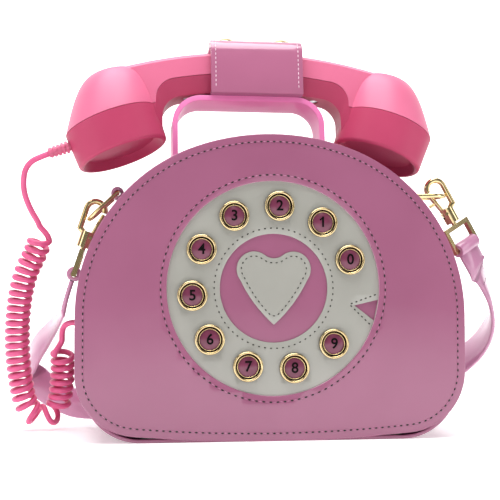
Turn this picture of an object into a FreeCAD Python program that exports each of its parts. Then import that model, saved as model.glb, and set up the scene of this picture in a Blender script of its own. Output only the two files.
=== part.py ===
import FreeCAD, Part
import math
import os
from FreeCAD import Vector, Placement, Rotation

os.makedirs("parts", exist_ok=True)
doc = FreeCAD.newDocument("phone_bag")

# Sizes in millimetres and degrees
SIZES = {
    "bag_half_width": "110",
    "bag_height": "171.5",
    "bag_half_depth": "40",
    "panel_top_radius": "130",
    "panel_shoulder_angle": "19.471",
    "panel_corner_radius": "34.7",
    "panel_bottom_radius": "830",
    "panel_thick": "1.4",
    "gusset_half_width": "106.65",
    "gusset_height": "168",
    "gusset_top_radius": "110",
    "gusset_shoulder_angle": "60",
    "gusset_corner_radius": "33",
    "gusset_thick": "2",
    "board_thick": "1",
    "board_inset": "1",
    "lining_thick": "0.6",
    "lining_gap": "0.3",
    "base_board_thick": "1.6",
    "dial_height": "85",
    "window_radius": "60",
    "dial_lap": "6",
    "dial_thick": "1",
    "hole_radius": "30.4",
    "notch_depth": "13",
    "notch_half_width": "6",
    "notch_angle": "-12",
    "heart_width": "42",
    "heart_height": "41",
    "heart_bulge": "1.6",
    "heart_cleft": "3.8",
    "heart_lobe": "9.9",
    "button_circle": "46",
    "button_first_angle": "20.3",
    "button_step_angle": "33",
    "bezel_radius": "8.3",
    "bezel_bore": "6.1",
    "bezel_stand": "2.2",
    "dome_radius": "5.9",
    "dome_stand": "1.2",
    "dome_rise": "1.6",
    "zip_setback": "12",
    "zip_half_angle": "54",
    "slot_half": "4.5",
    "tape_width": "10",
    "tape_thick": "0.8",
    "coil_width": "1.5",
    "coil_thick": "1.5",
    "coil_gap": "0.9",
    "fold_gap": "0.3",
    "slider_angle": "47",
    "slider_length": "11",
    "slider_plate": "1.2",
    "slider_clear": "0.35",
    "slider_wall": "1",
    "bail_wire": "0.8",
    "bail_inner": "1.7",
    "pull_length": "20",
    "pull_lay_angle": "80",
    "pull_width": "6",
    "pull_thick": "1.6",
    "stop_length": "2.5",
    "handle_x": "-11",
    "handle_y": "-8",
    "handle_half_span": "43",
    "handle_width": "22",
    "handle_thick": "3",
    "handle_top_z": "196",
    "handle_corner": "17",
    "foot_angle": "9",
    "rivet_radius": "3.5",
    "rivet_head": "1.2",
    "rivet_grip": "1",
    "lean_angle": "8",
    "lean_z": "160",
    "wrap_x": "-6.5",
    "wrap_half_length": "27",
    "wrap_half_width": "17.5",
    "wrap_height": "35.3",
    "wrap_slope": "8",
    "wrap_thick": "1.6",
    "wrap_round": "9",
    "wrap_lap": "6",
    "wrap_under": "8.5",
    "wrap_gap": "1.9",
    "snap_spacing": "33",
    "snap_radius": "6.4",
    "snap_rise": "3",
    "snap_setback": "3",
    "disc_thick": "0.7",
    "handset_x": "-8.5",
    "grip_crest_z": "223.6",
    "grip_radius": "270",
    "grip_half_width": "12.5",
    "grip_bevel_height": "10",
    "grip_bevel_width": "4.5",
    "grip_top_bevel": "3",
    "grip_bend": "12.5",
    "leg_x": "52.6",
    "leg_foot": "13",
    "leg_lean_in": "4",
    "grip_end_x": "80",
    "parting_gap": "0.35",
    "rim_round": "1.8",
    "lip_height": "4.5",
    "lip_edge": "2.4",
    "lip_width": "6.5",
    "handset_seat_gap": "0.4",
    "cup_x": "74.7",
    "cup_drop": "61.6",
    "cup_tilt": "19.9",
    "cup_radius": "27.7",
    "cup_rim_radius": "26.6",
    "cup_height": "21",
    "cone_height": "27.6",
    "cone_tip": "9.5",
    "cone_tilt": "6",
    "cone_offset": "9.4",
    "shell_thick": "2",
    "cap_thick": "2.4",
    "cap_clear": "0.2",
    "speaker_radius": "14",
    "speaker_thick": "6",
    "microphone_radius": "5",
    "microphone_thick": "5",
    "post_x": "38",
    "post_radius": "3.2",
    "screw_radius": "1.4",
    "screw_head_radius": "2.6",
    "screw_head_thick": "1.2",
    "boot_height": "15",
    "boot_length": "13",
    "boot_radius": "3.6",
    "boot_ribs": "5",
    "cord_radius": "1.7",
    "curl_radius": "5.7",
    "curl_turns": "32",
    "eyelet_z": "65",
    "eyelet_y": "4",
    "eyelet_radius": "4.5",
    "eyelet_bore": "2.1",
    "eyelet_rim": "1.2",
    "plug_radius": "3.6",
    "plug_length": "16",
    "pin_radius": "1.75",
    "pin_length": "12",
    "tail_drop": "24",
    "tail_reach": "21",
    "tab_angle": "46.7",
    "tab_stand": "5.5",
    "tab_y": "-4",
    "tab_width": "14",
    "tab_thick": "2",
    "tab_length": "22",
    "ring_wire": "1.3",
    "ring_half_width": "9",
    "ring_reach": "22",
    "ring_bore_clear": "0.4",
    "hook_wire": "1.7",
    "hook_loop_radius": "5.4",
    "hook_leg": "13",
    "hook_base_radius": "4.2",
    "hook_base_length": "9.5",
    "gate_wire": "1.4",
    "gate_pin_radius": "0.9",
    "gate_gap": "0.3",
    "post_neck_radius": "1.5",
    "eye_wire": "1.4",
    "eye_turn_left": "0",
    "eye_turn_right": "60",
    "eye_half_width": "10.5",
    "eye_reach": "14",
    "strap_width": "18",
    "strap_thick": "2.4",
    "strap_run_half": "90",
    "strap_run_y": "58",
    "strap_run_pitch": "6",
    "tie_width": "8",
    "tie_thick": "1",
    "tie_gap": "0.4",
}
dims = doc.addObject("Spreadsheet::Sheet", "dims")
for row, (alias, text) in enumerate(SIZES.items(), 1):
    dims.set("A%d" % row, alias)
    dims.set("B%d" % row, text)
    dims.setAlias("B%d" % row, alias)
doc.recompute()


class Values:
    pass


v = Values()
for alias in SIZES:
    setattr(v, alias, float(dims.get(alias)))
v.zip_y = v.bag_half_depth - v.zip_setback

X = Vector(1, 0, 0)
Y = Vector(0, 1, 0)
Z = Vector(0, 0, 1)
O = Vector(0, 0, 0)
nodes = []


# Helpers
def node(obj, name):
    obj.Label = name
    nodes.append(obj)
    return obj


def feature(name, shape, place=None):
    obj = doc.addObject("Part::Feature", name)
    obj.Shape = shape
    if place is not None:
        obj.Placement = place
    return node(obj, name)


def primitive(kind, name, place=None, **sizes):
    obj = doc.addObject(kind, name)
    for prop, text in sizes.items():
        obj.setExpression(prop, text)
    if place is not None:
        obj.Placement = place
    return obj


def turn(axis, angle, about=O):
    return Placement(about, Rotation(axis, angle)) * Placement(about * -1, Rotation())


def box(x0, x1, y0, y1, z0, z1):
    return Part.makeBox(x1 - x0, y1 - y0, z1 - z0, Vector(x0, y0, z0))


def rod(a, b, radius):
    return Part.makeCylinder(radius, (b - a).Length, a, b - a)


def cylinder_y(x, z, radius, y0, y1):
    return Part.makeCylinder(radius, y1 - y0, Vector(x, y0, z), Y)


def joined(first, *others):
    return first.fuse(list(others)).removeSplitter()


def prism(points, y0, y1):
    wire = Part.makePolygon([Vector(p[0], y0, p[1]) for p in points + points[:1]])
    return Part.Face(wire).extrude(Vector(0, y1 - y0, 0))


def dome_outline(half, height, top, shoulder, corner, bottom, inset=0.0):
    """The bag's outline in the XZ plane: top arc, side arcs, straight sides, corner arcs and base."""
    c1 = Vector(0, 0, height - top)
    joint = math.radians(shoulder)
    side = (half - top * math.sin(joint)) / (1 - math.sin(joint))
    c2 = c1 + Vector(math.sin(joint), 0, math.cos(joint)) * (top - side)
    if bottom:
        cb = Vector(0, 0, bottom)
        c4x = half - corner
        c4 = Vector(c4x, 0, bottom - math.sqrt((bottom - corner) ** 2 - c4x**2))
        low = math.pi - math.asin(c4x / (bottom - corner))
    else:
        c4 = Vector(half - corner, 0, corner)
        low = math.pi
    t, s, c = top - inset, side - inset, corner - inset

    def at(centre, radius, angle):
        return centre + Vector(radius * math.sin(angle), 0, radius * math.cos(angle))

    right = [
        Part.Arc(at(c1, t, 0), at(c1, t, joint / 2), at(c1, t, joint)),
        Part.Arc(at(c2, s, joint), at(c2, s, (joint + math.pi / 2) / 2), at(c2, s, math.pi / 2)),
        Part.LineSegment(at(c2, s, math.pi / 2), at(c4, c, math.pi / 2)),
        Part.Arc(at(c4, c, math.pi / 2), at(c4, c, (low + math.pi / 2) / 2), at(c4, c, low)),
    ]
    if bottom:
        b = bottom - inset
        right.append(Part.Arc(at(c4, c, low), at(cb, b, (low + math.pi) / 2), at(cb, b, math.pi)))
    else:
        right.append(Part.LineSegment(at(c4, c, low), Vector(0, 0, inset)))
    edges = [g.toShape() for g in right]
    return Part.Wire(edges + [e.mirror(O, X) for e in reversed(edges)])


def slab(outline, y0, y1):
    face = Part.Face(outline)
    face.translate(Vector(0, y0, 0))
    return face.extrude(Vector(0, y1 - y0, 0))


def panel_outline(inset=0.0):
    return dome_outline(
        v.bag_half_width, v.bag_height, v.panel_top_radius, v.panel_shoulder_angle,
        v.panel_corner_radius, v.panel_bottom_radius, inset,
    )


def gusset_outline(inset=0.0):
    return dome_outline(
        v.gusset_half_width, v.gusset_height, v.gusset_top_radius, v.gusset_shoulder_angle,
        v.gusset_corner_radius, 0, inset,
    )


def ring_arc(r0, r1, y0, y1, a0, a1, cz):
    """Part of a ring about the Y axis through (0, cz), between two angles from the vertical."""
    shape = Part.makeCylinder(r1, y1 - y0, Vector(0, y0, cz), Y, a1 - a0)
    shape = shape.cut(Part.makeCylinder(r0, y1 - y0, Vector(0, y0, cz), Y))
    probe = shape.Solids[0].CenterOfMass
    now = math.degrees(math.atan2(probe.x, probe.z - cz))
    shape.rotate(Vector(0, 0, cz), Y, (a0 + a1) / 2 - now)
    return shape


def tube(points, radius):
    """A tube along straight runs joined by tangent arcs."""
    edges = []
    start = points[0]
    for i in range(1, len(points) - 1):
        a, b, c = points[i - 1], points[i], points[i + 1]
        u = (a - b).normalize()
        w = (c - b).normalize()
        half = u.getAngle(w) / 2
        reach = 0.45 * min((a - b).Length, (c - b).Length)
        bend = reach * math.tan(half)
        p = b + u * reach
        q = b + w * reach
        mid = (u + w).normalize()
        middle = b + mid * (bend / math.sin(half) - bend)
        edges.append(Part.LineSegment(start, p).toShape())
        edges.append(Part.Arc(p, middle, q).toShape())
        start = q
        print("bend radius", round(bend, 2))
    edges.append(Part.LineSegment(start, points[-1]).toShape())
    return pipe(Part.Wire(edges), radius)


def pipe(path, radius):
    first = path.Edges[0]
    start = first.valueAt(first.FirstParameter)
    heading = first.tangentAt(first.FirstParameter)
    ring = Part.Wire(Part.Circle(start, heading, radius).toShape())
    shell = path.makePipeShell([ring], True, False)
    solid = shell if shell.ShapeType == "Solid" else Part.Solid(Part.Shell(shell.Faces))
    print("tube volume ratio", round(solid.Volume / (math.pi * radius**2 * path.Length), 4))
    return solid


# Gusset band, split into the zip strips and the side and base piece
front = -v.bag_half_depth
back = v.bag_half_depth
inner_front = front + v.panel_thick
inner_back = back - v.panel_thick
zip_centre = v.gusset_height - v.gusset_top_radius
fold_z = zip_centre + v.gusset_top_radius * math.cos(math.radians(v.zip_half_angle))
far = 2 * v.bag_half_width
band = slab(gusset_outline(), inner_front, inner_back)
band = band.cut(slab(gusset_outline(v.gusset_thick), inner_front - 1, inner_back + 1))
slot_front = v.zip_y - v.slot_half
slot_back = v.zip_y + v.slot_half
front_cut = box(-far, far, inner_front - 1, slot_front, fold_z, far)
rear_cut = box(-far, far, slot_back, inner_back + 1, fold_z + v.fold_gap, far)
top_cut = box(-far, far, slot_front - 0.01, inner_back + 1, fold_z, far)
feature("zip_strip_front", band.common(front_cut))
feature("zip_strip_rear", band.common(rear_cut))
lower_band = band.cut(front_cut).cut(top_cut)
eyelet_hole = rod(
    Vector(-v.gusset_half_width - 5, v.eyelet_y, v.eyelet_z),
    Vector(-v.gusset_half_width + 8, v.eyelet_y, v.eyelet_z),
    v.eyelet_radius - v.eyelet_rim,
)
feature("side_gusset", lower_band.cut(eyelet_hole))

# Front panel, dial pieces and board
window = cylinder_y(0, v.dial_height, v.window_radius, front - 1, inner_front + 1)
feature("front_panel", slab(panel_outline(), front, inner_front).cut(window))
dial_back = inner_front + v.dial_thick
dial = primitive(
    "Part::Cylinder", "dial_disc", Radius="dims.window_radius + dims.dial_lap", Height="dims.dial_thick"
)
hole = primitive("Part::Cylinder", "dial_hole", Radius="dims.hole_radius", Height="dims.dial_thick * 3")
dial_place = Placement(Vector(0, dial_back, v.dial_height), Rotation(X, 90))
dial.Placement = dial_place
hole.Placement = Placement(Vector(0, dial_back + v.dial_thick, v.dial_height), Rotation(X, 90))
notch_outer = v.window_radius - 0.3
tip = v.window_radius - v.notch_depth
notch_turn = math.radians(v.notch_angle)


def dial_point(radius, side):
    return (
        radius * math.cos(notch_turn) - side * math.sin(notch_turn),
        v.dial_height + radius * math.sin(notch_turn) + side * math.cos(notch_turn),
    )


notch_points = [
    dial_point(tip, 0),
    dial_point(notch_outer, -v.notch_half_width),
    dial_point(notch_outer, v.notch_half_width),
]
notch = doc.addObject("Part::Feature", "dial_notch")
notch.Shape = prism(notch_points, inner_front - 1, dial_back + 1)
buttons = []
for k in range(10):
    angle = math.radians(v.button_first_angle + k * v.button_step_angle)
    buttons.append((v.button_circle * math.cos(angle), v.dial_height + v.button_circle * math.sin(angle)))
bores = doc.addObject("Part::Feature", "dial_bores")
bores.Shape = Part.makeCompound(
    [cylinder_y(x, z, v.bezel_bore, inner_front - 1, dial_back + 1) for x, z in buttons]
)
dial_tools = doc.addObject("Part::MultiFuse", "dial_tools")
dial_tools.Shapes = [hole, notch, bores]
dial_ring = doc.addObject("Part::Cut", "dial_ring")
dial_ring.Base = dial
dial_ring.Tool = dial_tools
node(dial_ring, "dial_ring")
board_back = dial_back + v.board_thick
feature("dial_ground", slab(gusset_outline(v.gusset_thick + v.board_inset), dial_back, board_back))

# Heart from two arcs and two straight flanks
heart_top = v.dial_height + v.heart_height / 2
heart_tip = Vector(0, 0, v.dial_height - v.heart_height / 2)
lobe_at = Vector(v.heart_width / 2 - v.heart_lobe, 0, heart_top - v.heart_lobe)
cleft = Vector(0, 0, heart_top - v.heart_cleft)
sink = v.heart_lobe - v.heart_cleft
cleft_radius = (lobe_at.x**2 + sink**2 - v.heart_lobe**2) / (2 * (v.heart_lobe - sink))
cleft_at = cleft + Vector(0, 0, cleft_radius)
meet = cleft_at + (lobe_at - cleft_at).normalize() * cleft_radius
reach = lobe_at - heart_tip
lean = math.atan2(reach.x, reach.z) + math.asin(v.heart_lobe / reach.Length)
run = math.sqrt(reach.Length**2 - v.heart_lobe**2)
touch = heart_tip + Vector(run * math.sin(lean), 0, run * math.cos(lean))
side = (heart_tip + touch) / 2 + Vector(math.cos(lean), 0, -math.sin(lean)) * v.heart_bulge
dip = cleft_at + ((cleft + meet) / 2 - cleft_at).normalize() * cleft_radius
crown = lobe_at + Vector(math.sqrt(0.5), 0, math.sqrt(0.5)) * v.heart_lobe
half_heart = [
    Part.Arc(heart_tip, side, touch).toShape(),
    Part.Arc(touch, crown, meet).toShape(),
    Part.Arc(meet, dip, cleft).toShape(),
]
heart_wire = Part.Wire(half_heart + [e.mirror(O, X) for e in reversed(half_heart)])
feature("heart_patch", slab(heart_wire, inner_front, dial_back))

# Buttons: a stepped gold bezel and a pink dome in each
bezel_front = inner_front - v.bezel_stand
bezel_shapes = []
dome_shapes = []
for x, z in buttons:
    ring = cylinder_y(x, z, v.bezel_radius, bezel_front, inner_front)
    ring = joined(ring, cylinder_y(x, z, v.bezel_bore, inner_front, dial_back))
    cup_hole = Part.makeCone(
        v.bezel_radius - 0.8, v.bezel_bore - 0.1, v.bezel_stand, Vector(x, bezel_front, z), Y
    )
    bezel_shapes.append(ring.cut(cup_hole))
    dome_front = inner_front - v.dome_stand
    sphere_radius = (v.dome_radius**2 + v.dome_rise**2) / (2 * v.dome_rise)
    centre = Vector(x, dome_front - v.dome_rise + sphere_radius, z)
    cap = Part.makeSphere(sphere_radius, centre).common(
        cylinder_y(x, z, v.dome_radius, dome_front - v.dome_rise - 1, dome_front)
    )
    dome_shapes.append(joined(cap, cylinder_y(x, z, v.dome_radius, dome_front, inner_front)))
bezel_cut = [b.cut(d) for b, d in zip(bezel_shapes, dome_shapes)]
feature("button_bezels", Part.makeCompound(bezel_cut))
feature("number_domes", Part.makeCompound(dome_shapes))

# Back panel in two parts that meet at the fold
back_slab = slab(panel_outline(), inner_back, back)
feature("back_panel_lower", back_slab.cut(box(-far, far, inner_back - 1, back + 1, fold_z, far)))
above_fold = box(-far, far, inner_back - 1, back + 1, fold_z + v.fold_gap, far)
feature("back_panel_upper", back_slab.common(above_fold))

# Zip tapes, coils, end stops, slider and pull
strip_inner = v.gusset_top_radius - v.gusset_thick
tape_inner = strip_inner - v.tape_thick
tape_angle = v.zip_half_angle - 1.0
half_gap = v.coil_gap
tape_front = ring_arc(
    tape_inner, strip_inner, v.zip_y - v.tape_width, v.zip_y - half_gap, -tape_angle, tape_angle, zip_centre
)
feature("zip_tape_front", tape_front)
fold_keep = box(-far, far, front, back, fold_z + v.fold_gap, far)
tape_rear_back = min(v.zip_y + v.tape_width, inner_back)
tape_rear = ring_arc(
    tape_inner, strip_inner, v.zip_y + half_gap, tape_rear_back, -tape_angle, tape_angle, zip_centre
)
feature("zip_tape_rear", tape_rear.common(fold_keep))
coil_outer = strip_inner + v.coil_thick
coil_angle = tape_angle - 1.5
coil_y0 = v.zip_y - half_gap
coil_y1 = v.zip_y + half_gap
coil_front = ring_arc(
    strip_inner, coil_outer, coil_y0 - v.coil_width, coil_y0, -coil_angle, coil_angle, zip_centre
)
coil_rear = ring_arc(
    strip_inner, coil_outer, coil_y1, coil_y1 + v.coil_width, -coil_angle, coil_angle, zip_centre
)
feature("zip_coil_front", coil_front)
feature("zip_coil_rear", coil_rear.common(fold_keep))
stop_arc = math.degrees(v.stop_length / coil_outer)
stop_y0 = v.zip_y - half_gap - v.coil_width - 0.6
stops = []
for side in (-1, 1):
    a0 = side * coil_angle - stop_arc / 2
    block = ring_arc(strip_inner, coil_outer + 0.5, stop_y0, coil_y0, a0, a0 + stop_arc, zip_centre)
    stops.append(block.cut(coil_front))
feature("zip_stops", Part.makeCompound(stops))
slider_half = math.degrees(v.slider_length / 2 / coil_outer)
plate_in = coil_outer + v.slider_clear
plate_out = plate_in + v.slider_plate
under_out = tape_inner - v.slider_clear
under_in = under_out - v.slider_plate
web_y0 = v.zip_y - half_gap + v.slider_clear
web_y1 = web_y0 + v.slider_wall
plate_y0 = v.zip_y - half_gap - v.coil_width - v.slider_clear
slider_from = v.slider_angle - slider_half
slider_to = v.slider_angle + slider_half
slider = joined(
    ring_arc(plate_in, plate_out, plate_y0, web_y1, slider_from, slider_to, zip_centre),
    ring_arc(under_in, under_out, plate_y0, web_y1, slider_from, slider_to, zip_centre),
    ring_arc(under_in, plate_out, web_y0, web_y1, slider_from, slider_to, zip_centre),
)
mid_y = (plate_y0 + web_y1) / 2
bail_radius = v.bail_inner + v.bail_wire
bail_centre = Vector(0, mid_y, zip_centre + plate_out + v.bail_inner * 0.6)
bail = Part.makeTorus(v.bail_inner + v.bail_wire, v.bail_wire, bail_centre, Y)
bail_drum_at = Vector(0, mid_y - 2 * bail_radius, zip_centre)
bail = bail.cut(Part.makeCylinder(plate_out - 0.3, 4 * bail_radius, bail_drum_at, Y))
slider_turn = turn(Y, v.slider_angle, Vector(0, 0, zip_centre))
bail.Placement = slider_turn
slider = joined(slider, bail)
feature("zip_slider", slider)
pull_z = zip_centre + plate_out + v.bail_inner * 0.6 + bail_radius
eye_out = v.bail_wire + 1.2
pull_eye = rod(Vector(-0.8, mid_y, pull_z), Vector(0.8, mid_y, pull_z), eye_out)
pull_plate = box(
    -v.pull_width / 2, v.pull_width / 2, mid_y - v.pull_thick / 2, mid_y + v.pull_thick / 2,
    pull_z + v.bail_wire + 0.8, pull_z + v.pull_length,
)
pull_shape = joined(pull_eye, pull_plate)
pull_shape = pull_shape.cut(rod(Vector(-4, mid_y, pull_z), Vector(4, mid_y, pull_z), v.bail_wire + 0.35))
pull_shape.Placement = slider_turn * turn(X, v.pull_lay_angle, Vector(0, mid_y, pull_z))
feature("zip_pull", pull_shape)

# Lining and base board
lining_outer = v.gusset_thick + v.tape_thick + v.lining_gap + v.slider_plate + 2 * v.slider_clear
lining_inner = lining_outer + v.lining_thick
lining_front = board_back
lining_back = inner_back - v.lining_gap
lining = slab(gusset_outline(lining_outer), lining_front, lining_back)
lining = lining.cut(
    slab(gusset_outline(lining_inner), lining_front + v.lining_thick, lining_back - v.lining_thick)
)
mouth_front = slot_front - v.tape_width
mouth = box(-far, far, mouth_front, back, fold_z - 4, far)
lining_hole = rod(
    Vector(-v.gusset_half_width, v.eyelet_y, v.eyelet_z),
    Vector(-v.gusset_half_width + 14, v.eyelet_y, v.eyelet_z),
    v.eyelet_radius + 0.4,
)
feature("lining", lining.cut(mouth).cut(lining_hole))
base_half = v.gusset_half_width - v.gusset_corner_radius
base_low = v.gusset_thick
base = primitive(
    "Part::Box", "base_board_box",
    Length="2 * (dims.gusset_half_width - dims.gusset_corner_radius)",
    Width="2 * dims.bag_half_depth - 4 * dims.panel_thick - 4 * dims.board_thick",
    Height="dims.base_board_thick",
)
base_width = 2 * v.bag_half_depth - 4 * v.panel_thick - 4 * v.board_thick
base.Placement = Placement(Vector(-base_half, -base_width / 2, base_low), Rotation())
node(base, "base_board")

# Handle: feet on the front zip strip, legs, corners and top band, leaning back a little
lean_place = turn(X, -v.lean_angle, Vector(0, v.handle_y, v.lean_z))
h0 = v.handle_y - v.handle_width / 2
h1 = v.handle_y + v.handle_width / 2
leg_l = v.handle_x - v.handle_half_span
leg_r = v.handle_x + v.handle_half_span
half_t = v.handle_thick / 2
band_low = v.handle_top_z - v.handle_thick
corner_z = v.handle_top_z - v.handle_corner
leg_low = zip_centre + math.sqrt(strip_inner**2 - (abs(leg_l) + v.handle_thick) ** 2) - 8
arch = box(leg_l - half_t, leg_l + half_t, h0, h1, leg_low, corner_z)
arch = arch.fuse(box(leg_r - half_t, leg_r + half_t, h0, h1, leg_low, corner_z))
bend_l = leg_l - half_t + v.handle_corner
bend_r = leg_r + half_t - v.handle_corner
arch = arch.fuse(box(bend_l, bend_r, h0, h1, band_low, v.handle_top_z))
for leg, way in ((bend_l, -1), (bend_r, 1)):
    bend = cylinder_y(leg, corner_z, v.handle_corner, h0, h1)
    bend = bend.cut(cylinder_y(leg, corner_z, v.handle_corner - v.handle_thick, h0 - 1, h1 + 1))
    x0, x1 = sorted((leg, leg + way * v.handle_corner))
    arch = arch.fuse(bend.common(box(x0, x1, h0 - 1, h1 + 1, corner_z, v.handle_top_z)))
arch.Placement = lean_place
gusset_drum = cylinder_y(0, zip_centre, v.gusset_top_radius, -far, far)
handle = arch.cut(gusset_drum)
foot_out = v.gusset_top_radius + v.handle_thick
rivet_spots = []
for leg, way in ((leg_l, -1), (leg_r, 1)):
    a0 = math.degrees(math.asin(leg / v.gusset_top_radius)) - way * 1.6
    a1 = a0 + way * (v.foot_angle + 1.6)
    lo, hi = sorted((a0, a1))
    handle = handle.fuse(ring_arc(v.gusset_top_radius, foot_out, h0, h1, lo, hi, zip_centre))
    rivet_spots.append(a1 - way * v.foot_angle * 0.45)
rivets = []
rivet_holes = []
for angle in rivet_spots:
    place = turn(Y, angle, Vector(0, 0, zip_centre))
    head = Part.makeCylinder(v.rivet_radius, v.rivet_head, Vector(0, v.handle_y, zip_centre + foot_out), Z)
    shank_at = Vector(0, v.handle_y, zip_centre + foot_out - v.handle_thick)
    shank = Part.makeCylinder(v.rivet_radius / 2, v.handle_thick + v.rivet_grip, shank_at, Z)
    rivet = head.fuse(shank).cut(gusset_drum).removeSplitter()
    rivet.Placement = place
    rivet = rivet.cut(gusset_drum)
    rivets.append(rivet)
    rivet_holes.append(rivet)
handle = handle.removeSplitter()
for rivet in rivet_holes:
    handle = handle.cut(rivet)
feature("top_handle", handle)
feature("handle_rivets", Part.makeCompound(rivets))

# Handset wrap: floor on the handle, front and rear flaps that hinge at the floor's edges
wrap_low = v.handle_top_z
wrap_floor_top = wrap_low + v.wrap_thick
wx0 = v.wrap_x - v.wrap_half_length
wx1 = v.wrap_x + v.wrap_half_length
wy = v.handle_y
half_w = v.wrap_half_width
floor_half = half_w - v.wrap_thick - 0.3
floor_shape = box(wx0, wx1, wy - floor_half, wy + floor_half, wrap_low, wrap_floor_top)
feature("wrap_floor", floor_shape, lean_place)


def flap_section(way, top, lap):
    """A bent flap in the YZ plane: a wall, a round shoulder and a sloping lip over the top."""
    inner = half_w - v.wrap_thick
    slope = math.radians(v.wrap_slope)
    stop = math.pi / 2 + way * slope
    ro = v.wrap_round
    ri = v.wrap_round - v.wrap_thick
    cy = half_w - ro
    turn_z = top - way * math.tan(slope) * -cy - ro / math.cos(slope)

    def p(y, z):
        return Vector(0, wy + way * y, z)

    def on(radius, angle):
        return p(cy + radius * math.cos(angle), turn_z + radius * math.sin(angle))

    def lip(radius):
        return p(lap, top + way * lap * math.tan(slope) - (ro - radius) / math.cos(slope))

    edges = [
        Part.LineSegment(p(half_w, wrap_low), on(ro, 0)),
        Part.Arc(on(ro, 0), on(ro, stop / 2), on(ro, stop)),
        Part.LineSegment(on(ro, stop), lip(ro)),
        Part.LineSegment(lip(ro), lip(ri)),
        Part.LineSegment(lip(ri), on(ri, stop)),
        Part.Arc(on(ri, stop), on(ri, stop / 2), on(ri, 0)),
        Part.LineSegment(on(ri, 0), p(inner, wrap_low)),
        Part.LineSegment(p(inner, wrap_low), p(half_w, wrap_low)),
    ]
    face = Part.Face(Part.Wire([e.toShape() for e in edges]))
    face.translate(Vector(wx0, 0, 0))
    return face.extrude(Vector(wx1 - wx0, 0, 0))


front_top = wrap_low + v.wrap_height
rear_top = front_top - (v.wrap_thick + v.wrap_gap) / math.cos(math.radians(v.wrap_slope))
snap_xs = [v.wrap_x - v.snap_spacing / 2, v.wrap_x + v.snap_spacing / 2]
feature("wrap_front", flap_section(-1, front_top, -v.wrap_lap), lean_place)
feature("wrap_rear", flap_section(1, rear_top, -v.wrap_under), lean_place)
snap_ball = (v.snap_radius**2 + v.snap_rise**2) / (2 * v.snap_rise)
caps = []
sockets = []
studs = []
for x in snap_xs:
    ball = Part.makeSphere(snap_ball, Vector(x, 0, v.snap_rise - snap_ball))
    caps.append(ball.common(Part.makeCylinder(v.snap_radius, v.snap_rise + 1, Vector(x, 0, 0), Z)))
    sockets.append(
        Part.makeCylinder(v.snap_radius * 0.7, v.disc_thick, Vector(x, 0, -v.wrap_thick - v.disc_thick), Z)
    )
    stud_at = Vector(x, 0, -v.wrap_thick - v.wrap_gap)
    studs.append(Part.makeCylinder(v.snap_radius * 0.6, v.disc_thick, stud_at, Z))
snap_z = front_top - v.snap_setback * math.tan(math.radians(v.wrap_slope))
snap_place = lean_place * Placement(Vector(0, wy - v.snap_setback, snap_z), Rotation(X, v.wrap_slope))
feature("snap_caps", Part.makeCompound(caps), snap_place)
feature("snap_sockets", Part.makeCompound(sockets), snap_place)
feature("snap_studs", Part.makeCompound(studs), snap_place)

# Handset: faceted grip on an arc, round cups with slanting shoulders
seat_end = v.wrap_half_length + abs(v.wrap_x - v.handset_x)
seat_sag = seat_end**2 / (2 * (v.grip_radius - v.wrap_height))
grip_low_radius = v.grip_radius - (v.grip_crest_z - wrap_floor_top - v.handset_seat_gap - seat_sag)
grip_cz = v.grip_crest_z - v.grip_radius
cup_z = v.grip_crest_z - v.cup_drop


def grip_wire(y, rise, drop, inset, longer=0):
    """The grip's outline at one depth: crest, ends inside the cups, legs, bends and underside."""
    top = v.grip_radius - drop - inset
    low = grip_low_radius + rise + inset
    leg = v.leg_x + v.leg_lean_in * rise / v.grip_bevel_height + inset
    leg_low = cup_z + v.leg_foot + rise / 2 + inset
    bend = v.grip_bend - inset / 2
    bend_x = leg - bend
    bend_z = math.sqrt((low - bend) ** 2 - bend_x**2)
    reach = low / (low - bend)
    end = v.grip_end_x + longer
    end_z = math.sqrt(top**2 - end**2)
    inward = end - v.cup_radius / 3

    def p(x, z):
        return Vector(x, y, grip_cz + z)

    def turned(way, angle):
        return p(way * (bend_x + bend * math.sin(angle)), bend_z + bend * math.cos(angle))

    meet = math.atan2(bend_x, bend_z)
    half = (meet + math.pi / 2) / 2
    foot_z = leg_low - grip_cz
    edges = [
        Part.Arc(p(-end, end_z), p(0, top), p(end, end_z)),
        Part.LineSegment(p(end, end_z), p(inward, foot_z)),
        Part.LineSegment(p(inward, foot_z), p(leg, foot_z)),
        Part.LineSegment(p(leg, foot_z), p(leg, bend_z)),
        Part.Arc(p(leg, bend_z), turned(1, half), turned(1, meet)),
        Part.Arc(turned(1, meet), p(0, low), turned(-1, meet)),
        Part.Arc(turned(-1, meet), turned(-1, half), p(-leg, bend_z)),
        Part.LineSegment(p(-leg, bend_z), p(-leg, foot_z)),
        Part.LineSegment(p(-leg, foot_z), p(-inward, foot_z)),
        Part.LineSegment(p(-inward, foot_z), p(-end, end_z)),
    ]
    return Part.Wire([e.toShape() for e in edges])


def grip_solid(inset):
    side = v.grip_half_width - inset
    face = side - v.grip_bevel_width
    shorter = -3 * inset
    wires = [
        grip_wire(-side, v.grip_bevel_height, v.grip_top_bevel, inset, shorter),
        grip_wire(-face, 0, 0, inset, shorter),
        grip_wire(face, 0, 0, inset, shorter),
        grip_wire(side, v.grip_bevel_height, v.grip_top_bevel, inset, shorter),
    ]
    return Part.makeLoft(wires, True, True)


def cup_place(way):
    centre = Vector(way * v.cup_x, 0, cup_z)
    return Placement(centre, Rotation(Y, way * v.cup_tilt))


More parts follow.
